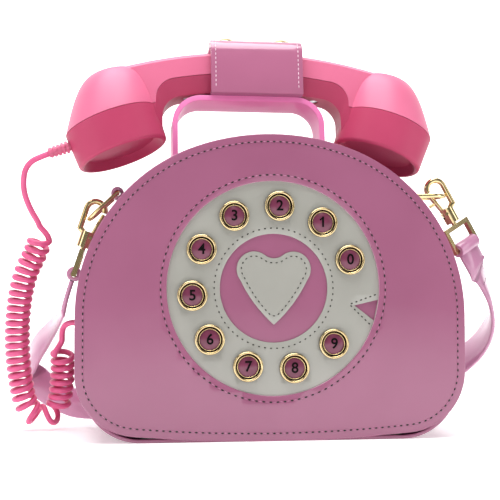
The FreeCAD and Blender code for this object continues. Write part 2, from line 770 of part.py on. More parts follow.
def dome_solid(way, inset):
    """The cup's rounded top, leaning towards the grip."""
    rings = []
    for part in (0.0, 0.3, 0.56, 0.8, 0.94, 1.0):
        swell = max(1 - part**3, 0) ** (1 / 3)
        radius = v.cone_tip + (v.cup_radius - v.cone_tip) * (0.55 * swell + 0.45 * (1 - part)) - inset
        z = v.cup_height + (v.cone_height - inset) * part
        centre = Vector(-way * v.cone_offset * part, 0, z)
        lean = math.radians(v.cone_tilt) * part
        facing = Vector(-way * math.sin(lean), 0, math.cos(lean))
        rings.append(Part.Wire(Part.Circle(centre, facing, radius).toShape()))
    solid = Part.makeLoft(rings, True, False)
    solid.Placement = cup_place(way)
    return solid


def skirt_solid(way, inset, low):
    rim = v.cup_rim_radius - inset
    solid = Part.makeCone(rim, v.cup_radius - inset, v.cup_height - low, Vector(0, 0, low), Z)
    if not inset:
        solid = solid.makeFillet(v.rim_round, [e for e in solid.Edges if abs(e.BoundBox.ZMax - low) < 0.01])
    solid.Placement = cup_place(way)
    return solid


def cup_hollow(way):
    """The room inside a cup, with a lip at the mouth that the cap rests on."""
    slope = (v.lip_width - v.lip_edge) / v.lip_height
    wide_end = v.cup_rim_radius - v.lip_edge + slope
    mouth = Part.makeCone(wide_end, v.cup_rim_radius - v.lip_width, v.lip_height + 1, Vector(0, 0, -1), Z)
    mouth.Placement = cup_place(way)
    return joined(skirt_solid(way, v.shell_thick, v.lip_height), dome_solid(way, v.shell_thick), mouth)


grip = grip_solid(0)
domes = [dome_solid(-1, 0), dome_solid(1, 0)]
skirts = [skirt_solid(-1, 0, 0), skirt_solid(1, 0, 0)]
hollow = joined(grip_solid(v.shell_thick), cup_hollow(-1), cup_hollow(1))
wide = 4 * v.cup_radius
over_crest = -v.grip_bevel_height
parting_line = grip_wire(-wide / 2, v.grip_bevel_height, over_crest, 0, wide / 2)
grip_above = Part.Face(parting_line).extrude(Y * wide)
creases = []
for way in (-1, 1):
    below = Part.makeCylinder(v.cup_radius + 12, v.cup_height + 30, Vector(0, 0, -30), Z)
    below.Placement = cup_place(way)
    grip_above = grip_above.cut(below)
    crease_at = Vector(0, 0, v.cup_height - v.parting_gap)
    crease = Part.makeCylinder(v.cup_radius + 1, v.parting_gap, crease_at, Z)
    crease.Placement = cup_place(way)
    creases.append(crease)
posts = []
screws = []
for way in (-1, 1):
    x = way * v.post_x
    roof = grip_cz + math.sqrt(v.grip_radius**2 - x**2) - v.shell_thick / 2
    ground = grip_cz + math.sqrt(grip_low_radius**2 - x**2)
    top_of_floor = ground + v.shell_thick
    posts.append(rod(Vector(x, 0, top_of_floor + 0.7), Vector(x, 0, roof), v.post_radius))
    shaft = rod(Vector(x, 0, ground + 0.6), Vector(x, 0, roof - 4), v.screw_radius)
    head_low = Vector(x, 0, ground + 0.2)
    head = rod(head_low, head_low + Z * v.screw_head_thick, v.screw_head_radius)
    screws.append(shaft.fuse(head).removeSplitter())
screw_tool = Part.makeCompound(screws)
upper = joined(joined(grip.common(grip_above), *domes).cut(hollow), *posts)
parting = grip_above.copy()
parting.translate(Z * -v.parting_gap)
lower = joined(grip.cut([grip_above] + domes), *skirts).cut(hollow)
lower = lower.cut([parting] + creases).removeSplitter()
for way, screw in zip((-1, 1), screws):
    x = way * v.post_x
    ground = grip_cz + math.sqrt(grip_low_radius**2 - x**2)
    well = rod(Vector(x, 0, ground - 4), Vector(x, 0, ground + 0.3), v.screw_head_radius)
    upper = upper.cut(screw)
    lower = lower.cut(screw).cut(well)
boot_at = Vector(-v.cup_x, 0, cup_z)
boot_side = cup_place(-1).Rotation.multVec(Vector(-1, 0, 0))
boot_up = cup_place(-1).Rotation.multVec(Vector(0, 0, 1))
boot_root = boot_at + boot_up * v.boot_height + boot_side * (v.cup_radius - v.shell_thick - 0.5)
boot_core = 0.7 * v.boot_radius
boot_end = boot_root + boot_side * (v.boot_length + v.shell_thick)
boot = rod(boot_root, boot_end, boot_core)
rib_count = int(v.boot_ribs)
rib_start = v.shell_thick + 1.2
for k in range(rib_count):
    a = boot_root + boot_side * (rib_start + k * (v.boot_length - 1) / rib_count)
    boot = boot.fuse(rod(a, a + boot_side * (0.55 * v.boot_length / rib_count), v.boot_radius - 0.12 * k))
boot = boot.removeSplitter()
cord_bore = rod(boot_root - boot_side, boot_end + boot_side, v.cord_radius + 0.1)
boot = boot.cut(cord_bore)
boot_hole = rod(boot_root - boot_side * 3, boot_end, boot_core)
upper = upper.cut(boot_hole)
lower = lower.cut(boot_hole)
handset_place = lean_place * Placement(Vector(v.handset_x, v.handle_y, 0), Rotation())
feature("handset_upper_shell", upper, handset_place)
feature("handset_lower_shell", lower, handset_place)
feature("cord_boot", boot, handset_place)
feature("handset_screws", screw_tool, handset_place)
cap_radius_text = "dims.cup_rim_radius - dims.shell_thick - dims.cap_clear"
for way, name in ((-1, "mouth_cap"), (1, "ear_cap")):
    cap = primitive("Part::Cylinder", name + "_disc", Radius=cap_radius_text, Height="dims.cap_thick")
    cap.Placement = handset_place * cup_place(way) * Placement(Vector(0, 0, v.lip_height), Rotation())
    node(cap, name)
speaker = primitive(
    "Part::Cylinder", "speaker_unit", Radius="dims.speaker_radius", Height="dims.speaker_thick"
)
inside_cap = Placement(Vector(0, 0, v.lip_height + v.cap_thick), Rotation())
speaker.Placement = handset_place * cup_place(1) * inside_cap
node(speaker, "speaker")
microphone = primitive(
    "Part::Cylinder", "microphone_unit", Radius="dims.microphone_radius", Height="dims.microphone_thick"
)
microphone.Placement = handset_place * cup_place(-1) * inside_cap
node(microphone, "microphone")

# Curly cord: a lead from the boot, a curled stretch in a U, and a tail to the eyelet
cord_from = handset_place.multVec(boot_root + boot_side * (v.shell_thick + 1.0))
cord_turn = handset_place.Rotation.multVec(boot_side)
boot_mouth = handset_place.multVec(boot_end)
eyelet_out = Vector(-v.gusset_half_width - 2.5, v.eyelet_y, v.eyelet_z)
eyelet_in = Vector(-v.gusset_half_width + v.gusset_thick + 1.5, v.eyelet_y, v.eyelet_z)
AXIS = [
    Vector(-131, 3, 113),
    Vector(-141, 9, 92),
    Vector(-145, 15, 66),
    Vector(-144.5, 20, 38),
    Vector(-139, 26, 8.6),
    Vector(-121.5, 30, 8.6),
    Vector(-118.5, 26, 31),
    Vector(-118.5, 22, 47),
]


def smooth(points, count):
    """Points along a quadratic B-spline with these control points, clamped at both ends."""
    spline = Part.BSplineCurve()
    spans = len(points) - 2
    knots = list(range(spans + 1))
    mults = [3] + [1] * (spans - 1) + [3]
    spline.buildFromPolesMultsKnots(points, mults, knots, False, 2)
    return spline.discretize(Number=count)


axis_line = smooth(AXIS, 600)
tangents = []
for i in range(len(axis_line)):
    a = axis_line[max(i - 1, 0)]
    b = axis_line[min(i + 1, len(axis_line) - 1)]
    tangents.append((b - a).normalize())
side = (X - tangents[0] * tangents[0].dot(X)).normalize()
frames = []
for t in tangents:
    side = (side - t * t.dot(side)).normalize()
    frames.append((side, t.cross(side)))
bends = []
for i in range(len(axis_line)):
    a = tangents[max(i - 8, 0)]
    b = tangents[min(i + 8, len(axis_line) - 1)]
    length = (axis_line[min(i + 8, len(axis_line) - 1)] - axis_line[max(i - 8, 0)]).Length
    bends.append(a.getAngle(b) / max(length, 1e-6))
gap = [0.0]
for i in range(1, len(axis_line)):
    step = (axis_line[i] - axis_line[i - 1]).Length
    squeeze = max(1 - 1.02 * v.curl_radius * bends[i], 0.15)
    gap.append(gap[-1] + step * squeeze)
phase = [2 * math.pi * v.curl_turns * g / gap[-1] for g in gap]


def curl(angle):
    """The point of the curled cord at a phase angle, by interpolation along the axis."""
    for i in range(1, len(phase)):
        if phase[i] >= angle - 1e-9:
            break
    f = (angle - phase[i - 1]) / (phase[i] - phase[i - 1])
    centre = axis_line[i - 1] * (1 - f) + axis_line[i] * f
    s = frames[i - 1][0] * (1 - f) + frames[i][0] * f
    w = frames[i - 1][1] * (1 - f) + frames[i][1] * f
    return centre + (s * math.cos(angle) + w * math.sin(angle)) * v.curl_radius


def biarc(p1, t1, p2, t2):
    """Two tangent arcs from one point and heading to another."""
    d = p2 - p1
    s = t1 + t2
    same = 1 - t1.dot(t2)
    if same < 1e-6:
        reach = d.dot(d) / (4 * d.dot(t2))
    else:
        reach = (-d.dot(s) + math.sqrt(d.dot(s) ** 2 + 2 * same * d.dot(d))) / (2 * same)
    q1 = p1 + t1 * reach
    q2 = p2 - t2 * reach
    mid = (q1 + q2) * 0.5
    return [arc_from(p1, t1, mid), arc_from(p2, t2 * -1, mid, True)]


def arc_from(p, t, q, back_to_front=False):
    chord = q - p
    way = Vector(chord).normalize()
    bulge = t - way * t.dot(way)
    if bulge.Length < 1e-5:
        return Part.LineSegment(q, p).toShape() if back_to_front else Part.LineSegment(p, q).toShape()
    angle = t.getAngle(chord)
    middle = (p + q) * 0.5 + bulge.normalize() * (chord.Length / 2 * math.tan(angle / 2))
    if back_to_front:
        return Part.Arc(q, middle, p).toShape()
    return Part.Arc(p, middle, q).toShape()


steps = int(v.curl_turns) * 4
small = 0.02
stations = []
for k in range(steps + 1):
    angle = 2 * math.pi * v.curl_turns * k / steps
    lo = max(angle - small, 0)
    hi = min(angle + small, phase[-1])
    stations.append((curl(angle), (curl(hi) - curl(lo)).normalize()))
lead_points = [
    (cord_from, cord_turn),
    (boot_mouth + cord_turn * 4, cord_turn),
    (Vector(-139.5, -4, 143), Vector(-0.05, 0.15, -1).normalize()),
    (Vector(-133, -1, 126), Vector(0.62, 0.2, -0.75).normalize()),
]
tail_points = [
    (eyelet_out + Vector(-4, 0, -0.5), Vector(1, 0, 0.1).normalize()),
    (eyelet_out, X),
]
route = lead_points + stations + tail_points
cord_edges = []
for (p1, t1), (p2, t2) in zip(route, route[1:]):
    cord_edges += biarc(p1, t1, p2, t2)
finish = Part.LineSegment(eyelet_out, eyelet_in).toShape()
cord_path = Part.Wire(cord_edges + [finish])
radii = [e.Curve.Radius for e in cord_edges if hasattr(e.Curve, "Radius")]
print("tightest cord arc", round(min(radii), 2), "cord length", round(cord_path.Length, 1))
marks = []
run_at = 0.0
for e in cord_path.Edges:
    for p in e.discretize(Number=8)[:-1]:
        marks.append((run_at, p))
        run_at += e.Length / 7
least = 1e9
for i in range(0, len(marks)):
    si, pi = marks[i]
    for sj, pj in marks[i + 1 :]:
        if sj - si > 3.5 * v.cord_radius * 2:
            least = min(least, (pi - pj).Length)
print("least gap of the cord to itself", round(least - 2 * v.cord_radius, 3))
feature("curly_cord", pipe(cord_path, v.cord_radius))

# Eyelet, inner tail and plug
eye_y0 = Vector(-v.gusset_half_width, v.eyelet_y, v.eyelet_z)
eyelet = rod(eye_y0 - X * 1.2, eye_y0 + X * (v.gusset_thick + 1.2), v.eyelet_radius)
waist = rod(eye_y0, eye_y0 + X * v.gusset_thick, v.eyelet_radius + 1)
waist = waist.cut(rod(eye_y0 - X, eye_y0 + X * (v.gusset_thick + 1), v.eyelet_radius - v.eyelet_rim))
eyelet = eyelet.cut(waist).cut(rod(eye_y0 - X * 5, eye_y0 + X * 8, v.eyelet_bore))
feature("cord_eyelet", eyelet)
drop_x = -v.gusset_half_width + lining_inner + v.tail_reach
plug_top = v.eyelet_z - v.tail_drop
tail_route = [
    eyelet_in,
    Vector(drop_x, v.eyelet_y, v.eyelet_z),
    Vector(drop_x, v.eyelet_y, plug_top),
]
feature("cord_inner_tail", tube(tail_route, v.cord_radius))
plug_way = (tail_route[2] - tail_route[1]).normalize()
plug = rod(tail_route[2], tail_route[2] + plug_way * v.plug_length, v.plug_radius)
pin_from = tail_route[2] + plug_way * v.plug_length
plug = plug.fuse(rod(pin_from, pin_from + plug_way * v.pin_length, v.pin_radius)).removeSplitter()
feature("jack_plug", plug)


# Strap tabs, rings, hooks, gates and swivel eyes on both sides
def side_hardware(way, tag, ring_heading, hook_heading, eye_turn):
    place = turn(Y, way * v.tab_angle, Vector(0, 0, zip_centre))
    y0 = v.tab_y - v.tab_width / 2
    y1 = v.tab_y + v.tab_width / 2
    bore = v.ring_wire + v.ring_bore_clear
    arc = math.degrees(v.tab_length / v.gusset_top_radius)
    lo, hi = sorted((way * v.tab_angle, way * (v.tab_angle + arc)))
    tab = ring_arc(v.gusset_top_radius, v.gusset_top_radius + v.tab_thick, y0, y1, lo, hi, zip_centre)
    sleeve_z = zip_centre + v.gusset_top_radius + bore + v.tab_thick + v.tab_stand
    sleeve = cylinder_y(0, sleeve_z, bore + v.tab_thick, y0, y1)
    sleeve.Placement = place
    web = box(-v.tab_thick, v.tab_thick, y0, y1, sleeve_z - bore - v.tab_thick - v.tab_stand - 1, sleeve_z)
    web.Placement = place
    tab = tab.fuse([sleeve, web])
    bar = place.multVec(Vector(0, v.tab_y, sleeve_z))
    tab = tab.cut(cylinder_y(bar.x, bar.z, bore, y0 - 1, y1 + 1)).cut(gusset_drum)
    feature("strap_tab_" + tag, tab.removeSplitter())
    e = Vector(way * math.sin(math.radians(ring_heading)), 0, -math.cos(math.radians(ring_heading)))
    w = v.ring_half_width
    arm = v.ring_reach - w
    ring = rod(bar - Y * w, bar + Y * w, v.ring_wire)
    for s in (-1, 1):
        ring = ring.fuse(rod(bar + Y * (s * w), bar + Y * (s * w) + e * arm, v.ring_wire))
        ring = ring.fuse(Part.makeSphere(v.ring_wire, bar + Y * (s * w)))
    bow_at = bar + e * arm
    bow = Part.makeTorus(w, v.ring_wire, bow_at, e.cross(Y))
    bow = bow.common(Part.makeCylinder(3 * w, 3 * w, bow_at, e))
    ring = ring.fuse(bow).removeSplitter()
    feature("strap_ring_" + tag, ring)
    a = Vector(way * math.sin(math.radians(hook_heading)), 0, -math.cos(math.radians(hook_heading)))
    out = a.cross(Y) * way
    loop_at = bar + e * v.ring_reach - a * 6 - out * 1.9
    big = v.hook_loop_radius
    wire = v.hook_wire
    crook_half = Part.makeCylinder(4 * big, 4 * big, loop_at, a * -1)
    crook = Part.makeTorus(big, wire, loop_at, Y).common(crook_half)
    spine_top = loop_at + out * big
    base_at = loop_at + a * v.hook_leg
    spine = rod(spine_top, spine_top + a * v.hook_leg, wire)
    hook_base = rod(base_at, base_at + a * v.hook_base_length, v.hook_base_radius)
    arm_low = rod(spine_top + a * (v.hook_leg - 1), base_at + a * 3.0, wire)
    pivot = base_at - out * 2.2 + a * 3.0
    hook = crook.fuse([spine, hook_base, arm_low])
    slot_half = v.gate_wire + 0.25 + v.gate_gap
    slot = Part.makeBox(12, 2 * slot_half, 20, Vector(-12, -slot_half, -20))
    slot_place = Placement(pivot + a * 2.6 + out * 2.2, Rotation(out, Y, a, "XZY"))
    slot.Placement = slot_place
    hook = hook.cut(slot).fuse(spine).fuse(crook)
    gate_tip = loop_at - out * big + a * (v.gate_gap + 0.6)
    knuckle_radius = v.gate_wire + 0.7
    gate = rod(gate_tip, pivot, v.gate_wire)
    knuckle_half = v.gate_wire + 0.25
    knuckle = Part.makeCylinder(knuckle_radius, 2 * knuckle_half, pivot - Y * knuckle_half, Y)
    knob_at = gate_tip + (pivot - gate_tip) * 0.45
    knob = rod(knob_at, knob_at - out * 4.4, 1.0)
    gate = gate.fuse([knuckle, knob])
    pin = Part.makeCylinder(v.gate_pin_radius, 2 * v.hook_base_radius, pivot - Y * v.hook_base_radius, Y)
    gate = gate.cut(Part.makeCylinder(v.gate_pin_radius + 0.15, 20, pivot - Y * 10, Y)).removeSplitter()
    room = knuckle_half + v.gate_gap
    hook = hook.cut(Part.makeCylinder(knuckle_radius + v.gate_gap, 2 * room, pivot - Y * room, Y))
    neck_end = base_at + a * (v.hook_base_length + 5)
    swivel_bore = rod(base_at + a * (v.hook_base_length - 3.4), neck_end, v.post_neck_radius + 0.3)
    room_low = base_at + a * (v.hook_base_length - 3.4)
    flange_room = rod(room_low, room_low + a * 2, v.post_neck_radius + 1.1)
    hook = hook.cut(swivel_bore).cut(flange_room).cut(pin)
    hook = hook.removeSplitter()
    feature("hook_body_" + tag, hook)
    feature("hook_gate_" + tag, gate)
    feature("gate_pin_" + tag, pin)
    yoke_at = base_at + a * (v.hook_base_length + 2.2)
    eye = rod(base_at + a * (v.hook_base_length - 3.1), yoke_at, v.post_neck_radius)
    flange_low = base_at + a * (v.hook_base_length - 3.1)
    eye = eye.fuse(rod(flange_low, flange_low + a * 1.4, v.post_neck_radius + 0.8))
    half = v.eye_half_width
    r = v.eye_wire
    twist = Rotation(a, eye_turn)
    frame_place = Placement(yoke_at, Rotation(twist.multVec(out), twist.multVec(Y), a, "XZY"))
    yoke = box(-r, r, -half - r, half + r, -0.6, 2.2)
    arms = [box(-r, r, s * half - r, s * half + r, 1.0, v.eye_reach + r) for s in (-1, 1)]
    bar_rod = rod(Vector(0, -half, v.eye_reach), Vector(0, half, v.eye_reach), r - 0.1)
    eye_frame = yoke.fuse(arms + [bar_rod])
    eye_frame.Placement = frame_place
    eye = eye.fuse(eye_frame).removeSplitter()
    eye_bar = yoke_at + a * v.eye_reach
    feature("swivel_eye_" + tag, eye)
    print("ring", tag, "axis at", bar, "reach", e)
    print("hook", tag, "loop", loop_at, "heading", a, "gate pivot", pivot, "out", out)
    print("eye bar", tag, eye_bar)
    return eye_bar, a, twist.multVec(Y)


bar_left, way_left, turn_left = side_hardware(-1, "left", 47, 18, v.eye_turn_left)
bar_right, way_right, turn_right = side_hardware(1, "right", 92, 29, v.eye_turn_right)


# Shoulder strap: hangs from both eyes, then folds back and forth on edge behind the bag
def spread(points, count):
    """Even points along the clamped quadratic spline of these control points."""
    return smooth(points, count)


loop_gap = v.eye_wire + 0.5
run_z = v.strap_width / 2 + 1.0
run_y0 = v.strap_run_y
run_count = 5
run_last = run_y0 + (run_count - 1) * v.strap_run_pitch
hang_left = [
    bar_left + way_left * (loop_gap + 4.0),
    bar_left + way_left * 14,
    Vector(-117, 14, 74),
    Vector(-124, 38, 62),
    Vector(-137, 54, 46),
    Vector(-141, 66, 30),
    Vector(-122, 64, 16),
    Vector(-104, run_y0, run_z),
    Vector(-v.strap_run_half, run_y0, run_z),
]
hang_right = [
    Vector(v.strap_run_half, run_last, run_z),
    Vector(104, run_last, run_z + 3),
    Vector(124, 74, 24),
    Vector(138, 56, 36),
    Vector(148, 34, 52),
    Vector(148, 16, 72),
    Vector(134, 4, 96),
    bar_right + way_right * 14,
    bar_right + way_right * (loop_gap + 4.0),
]
left_turns = [turn_left, turn_left, Vector(0, 1, 0.3), Vector(0.1, 0.6, 0.8), Vector(0, 0.2, 1), Z, Z, Z, Z]
right_turns = [Z, Z, Z, Vector(0, 0.3, 1), Vector(0, 0.6, 0.8), Vector(0.2, 0.9, 0.4), Vector(0.5, 0.8, 0.3)]
right_turns += [turn_right, turn_right]


def widths(turns, count):
    return smooth(turns, count)


def half_loop(centre_x, y0, y1, way, count):
    mid = (y0 + y1) / 2
    radius = (y1 - y0) / 2
    pts = []
    for k in range(1, count):
        angle = -math.pi / 2 + math.pi * k / count
        pts.append(Vector(centre_x + way * radius * math.cos(angle), mid + radius * math.sin(angle), run_z))
    return pts


left_count = 26
right_count = 30
line = [bar_left + way_left * (loop_gap + 2.0)] + spread(hang_left, left_count)
across = [turn_left] + widths(left_turns, left_count)
way = 1
for k in range(run_count):
    y = run_y0 + k * v.strap_run_pitch
    if k:
        line.append(Vector(-way * v.strap_run_half, y, run_z))
    if k < run_count - 1:
        line.append(Vector(way * v.strap_run_half, y, run_z))
        line += half_loop(way * v.strap_run_half, y, y + v.strap_run_pitch, way, 6)
    way = -way
across += [Z] * (len(line) - len(across))
line += spread(hang_right, right_count)
across += widths(right_turns, right_count)
line.append(bar_right + way_right * (loop_gap + 2.0))
across.append(turn_right)
sections = []
strap_length = 0.0
for i, p in enumerate(line):
    before = line[max(i - 1, 0)]
    after = line[min(i + 1, len(line) - 1)]
    t = (after - before).normalize()
    w = across[i] - t * t.dot(across[i])
    w = w.normalize()
    n = t.cross(w)
    a = w * (v.strap_width / 2)
    b = n * (v.strap_thick / 2)
    corners = [p + a + b, p + a - b, p - a - b, p - a + b]
    sections.append(Part.makePolygon(corners + corners[:1]))
    if i:
        strap_length += (p - line[i - 1]).Length
print("strap length", round(strap_length, 1))
feature("shoulder_strap", Part.makeLoft(sections, True, True))


def strap_end(name, bar, a, across):
    """The strap's end sewn back on itself round the eye's bar."""
    r_in = v.eye_wire + 0.4
    r_out = r_in + v.strap_thick
    side = across * (v.strap_width / 2)
    loop = rod(bar - side, bar + side, r_out).cut(rod(bar - side * 1.2, bar + side * 1.2, r_in))
    stop = bar + a * (loop_gap + 2.0)
    keep = Part.makeBox(40, 60, 40, Vector(-20, -30, 0))
    keep.Placement = Placement(stop, Rotation(Z, a))
    return feature(name, loop.cut(keep))


strap_end("strap_end_left", bar_left, way_left, turn_left)
strap_end("strap_end_right", bar_right, way_right, turn_right)

# Tie round the folded strap
tie_y0 = run_y0 - v.strap_thick / 2 - v.tie_gap
tie_y1 = run_last + v.strap_thick / 2 + v.tie_gap
tie_z0 = run_z - v.strap_width / 2 - v.tie_gap
tie_z1 = run_z + v.strap_width / 2 + v.tie_gap
tie_half = v.tie_width / 2
tie_low = max(tie_z0 - v.tie_thick, 0)
tie_out = box(
    -tie_half, tie_half, tie_y0 - v.tie_thick, tie_y1 + v.tie_thick, tie_low, tie_z1 + v.tie_thick
)
feature("strap_tie", tie_out.cut(box(-tie_half - 1, tie_half + 1, tie_y0, tie_y1, tie_z0, tie_z1)))

doc.recompute()
lead_axis = lean_place.Rotation.multVec(Z)
print("handset lift axis", lead_axis)
print("wrap front hinge", lean_place.multVec(Vector(v.wrap_x, wy - half_w, wrap_low)))
print("wrap rear hinge", lean_place.multVec(Vector(v.wrap_x, wy + half_w, wrap_low)))
print("fold z", fold_z, "zip centre", zip_centre)
print("pull hinge", slider_turn.multVec(Vector(0, mid_y, pull_z)))
print("slider turn", v.slider_angle)

# Check and write
for obj in nodes:
    state = [s for s in obj.State if s in ("Invalid", "Error")]
    if state or obj.Shape.isNull() or not obj.Shape.isValid():
        raise RuntimeError("bad piece " + obj.Label + " " + str(state))
    if not obj.Shape.Solids:
        raise RuntimeError("no solid in " + obj.Label)
    obj.Shape.exportStep("parts/" + obj.Label + ".step")
    b = obj.Shape.optimalBoundingBox(False)
    print(
        obj.Label, len(obj.Shape.Solids), "solids", round(obj.Shape.Volume, 1), "mm3",
        [round(q, 1) for q in (b.XMin, b.XMax, b.YMin, b.YMax, b.ZMin, b.ZMax)],
    )
print(len(nodes), "nodes")
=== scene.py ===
# %% [markdown]
# # A telephone-shaped handbag
# The bag is a stiff D-shaped case of glossy patent material, with a handset strapped on its handle.
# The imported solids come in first, as the fixed frame. Hard pieces keep their solids and get a finish;
# soft pieces, threads and cords are modelled here and stand for their solids.

# %% Load the frame
import math
import bpy
import bmesh
from mathutils import Matrix, Vector, noise


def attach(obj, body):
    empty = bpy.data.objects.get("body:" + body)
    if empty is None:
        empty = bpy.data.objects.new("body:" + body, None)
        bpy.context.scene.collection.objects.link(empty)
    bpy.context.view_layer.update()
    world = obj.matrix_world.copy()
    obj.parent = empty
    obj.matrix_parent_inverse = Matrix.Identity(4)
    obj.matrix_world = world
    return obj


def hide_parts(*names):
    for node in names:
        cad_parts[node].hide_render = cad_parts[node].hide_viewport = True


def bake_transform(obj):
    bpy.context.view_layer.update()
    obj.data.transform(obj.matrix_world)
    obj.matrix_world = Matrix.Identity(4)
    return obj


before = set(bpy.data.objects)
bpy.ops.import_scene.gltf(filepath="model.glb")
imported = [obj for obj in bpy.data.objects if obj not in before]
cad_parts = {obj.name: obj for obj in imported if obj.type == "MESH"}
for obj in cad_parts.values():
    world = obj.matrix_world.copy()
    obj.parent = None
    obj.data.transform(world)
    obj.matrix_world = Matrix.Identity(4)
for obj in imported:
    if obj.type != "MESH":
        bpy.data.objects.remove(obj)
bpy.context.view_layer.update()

MM = 0.001
print("solids in the frame:", len(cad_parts))

# %% [markdown]
# An operator works on whatever is selected, so each step first puts everything else down.
# These few hand tools are used all through the lesson.


# %% Hand tools
def put_down():
    if bpy.context.mode != "OBJECT":
        bpy.ops.object.mode_set(mode="OBJECT")
    bpy.ops.object.select_all(action="DESELECT")


def pick_up(obj):
    put_down()
    obj.select_set(True)
    bpy.context.view_layer.objects.active = obj


def press_modifiers(obj):
    pick_up(obj)
    for modifier in list(obj.modifiers):
        bpy.ops.object.modifier_apply(modifier=modifier.name)


def soften(obj, angle=35):
    pick_up(obj)
    bpy.ops.object.shade_smooth_by_angle(angle=math.radians(angle))


def round_edges(obj, width, segments=3, angle=40):
    bevel = obj.modifiers.new("rounded edge", "BEVEL")
    bevel.width = width * MM
    bevel.segments = segments
    bevel.limit_method = "ANGLE"
    bevel.angle_limit = math.radians(angle)
    press_modifiers(obj)


def new_piece(name, mesh):
    obj = bpy.data.objects.new(name, mesh)
    bpy.context.collection.objects.link(obj)
    return obj


def as_mesh(obj):
    pick_up(obj)
    bpy.ops.object.convert(target="MESH")
    bpy.ops.object.transform_apply(location=True, rotation=True, scale=True)
    return bpy.context.view_layer.objects.active


# %% [markdown]
# Every soft piece of the bag was cut from sheet with the solid's outline. The quickest pattern is the
# solid itself: copy its mesh, merge the loose triangles, clear the flat faces and soften the cut edges.
# Bisecting the sheet into a grid gives it points enough to ripple a little, as thin sheet over board does.


# %% Cutting a pattern from a solid
def cut_pattern(name, node):
    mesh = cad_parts[node].data.copy()
    mesh.name = name
    mesh.materials.clear()
    obj = new_piece(name, mesh)
    pick_up(obj)
    bpy.ops.mesh.customdata_custom_splitnormals_clear()
    bpy.ops.object.mode_set(mode="EDIT")
    bpy.ops.mesh.select_all(action="SELECT")
    bpy.ops.mesh.remove_doubles(threshold=2e-6)
    bpy.ops.mesh.dissolve_limited(angle_limit=math.radians(1.0))
    bpy.ops.object.mode_set(mode="OBJECT")
    return obj


def rule_grid(obj, step, axes="XZ"):
    pick_up(obj)
    bpy.ops.object.mode_set(mode="EDIT")
    for axis in axes:
        index = "XYZ".index(axis)
        way = Vector((0, 0, 0))
        way[index] = 1
        low = min(corner[index] for corner in obj.bound_box)
        high = max(corner[index] for corner in obj.bound_box)
        count = int((high - low) / (step * MM))
        for k in range(1, count):
            at = way * (low + (high - low) * k / count)
            bpy.ops.mesh.select_all(action="SELECT")
            bpy.ops.mesh.bisect(plane_co=at, plane_no=way)
    bpy.ops.object.mode_set(mode="OBJECT")


def ripple(obj, way, depth, size, seed):
    shift = Vector((seed * 7.3, seed * 3.1, seed * 5.7))
    for vert in obj.data.vertices:
        vert.co += Vector(way) * depth * MM * noise.noise(vert.co / (size * MM) + shift)


# %% [markdown]
# The finishes come next. Colours are written as sRGB hex values, as a paint chart gives them,
# and one function turns them to the linear values that the shaders use.


# %% Colours and shader nodes
def linear(code):
    channels = [int(code[i : i + 2], 16) / 255 for i in (1, 3, 5)]
    return [c / 12.92 if c <= 0.04045 else ((c + 0.055) / 1.055) ** 2.4 for c in channels] + [1.0]


def shade(mat, kind, values=(), links=(), **settings):
    """Adds one shader node with its settings, its fixed values and its links."""
    node = mat.node_tree.nodes.new("ShaderNode" + kind)
    for key, value in settings.items():
        setattr(node, key, value)
    for socket, value in dict(values).items():
        node.inputs[socket].default_value = value
    for socket, (source, output) in dict(links).items():
        mat.node_tree.links.new(source.outputs[output], node.inputs[socket])
    return node


def new_finish(name, **sockets):
    mat = bpy.data.materials.new(name)
    mat.use_nodes = True
    skin = mat.node_tree.nodes["Principled BSDF"]
    for key, value in sockets.items():
        skin.inputs[key.replace("_", " ")].default_value = value
    return mat, skin


def per_mm(size):
    """A noise scale that gives features of this size in millimetres."""
    return 1 / (size * MM)


def mottled(mat, skin, light, dark, size):
    place = shade(mat, "TexCoord")
    cloud = shade(mat, "TexNoise", {"Scale": per_mm(size), "Detail": 3.0}, {"Vector": (place, "Object")})
    tone = shade(mat, "ValToRGB", links={"Fac": (cloud, "Fac")})
    tone.color_ramp.elements[0].position = 0.35
    tone.color_ramp.elements[0].color = linear(dark)
    tone.color_ramp.elements[1].position = 0.65
    tone.color_ramp.elements[1].color = linear(light)
    mat.node_tree.links.new(tone.outputs["Color"], skin.inputs["Base Color"])
    return place


def dented(mat, skin, place, sizes):
    """Bump from noises, each given as size and depth in millimetres."""
    above = None
    for size, depth in sizes:
        grain = shade(mat, "TexNoise", {"Scale": per_mm(size), "Detail": 2.0}, {"Vector": (place, "Object")})
        links = {"Height": (grain, "Fac")}
        if above:
            links["Normal"] = (above, "Normal")
        above = shade(mat, "Bump", {"Strength": 1.0, "Distance": depth * MM}, links)
    mat.node_tree.links.new(above.outputs["Normal"], skin.inputs["Normal"])


def grained(name, light, dark, cloud, grain, depth, **sockets):
    """A finish with a slow change of tone and one fine grain, both in millimetres."""
    mat, skin = new_finish(name, **sockets)
    place = mottled(mat, skin, light, dark, cloud)
    dented(mat, skin, place, [(grain, depth)])
    return mat


# %% [markdown]
# Patent faux leather is polyurethane cast on a knitted backing and lacquered: a coloured body under a
# clear glossy coat, with a slow ripple that bends the reflections. The grain is drawn coarser than real.
# The handle's sheet has little lacquer, so it takes the same finish with a low gloss; its much lighter pink
# is painted light, standing in for the light falling on the handle and for the reflections its low gloss
# leaves out.


# %% Patent finishes
def patent(name, light, dark, gloss=1.0):
    mat, skin = new_finish(
        name, Roughness=0.42, IOR=1.5, Specular_IOR_Level=0.5 * gloss, Coat_Weight=gloss,
        Coat_Roughness=0.05, Coat_IOR=1.5,
    )
    place = mottled(mat, skin, light, dark, 60)
    dented(mat, skin, place, [(26, 0.25), (3.0, 0.012)])
    return mat


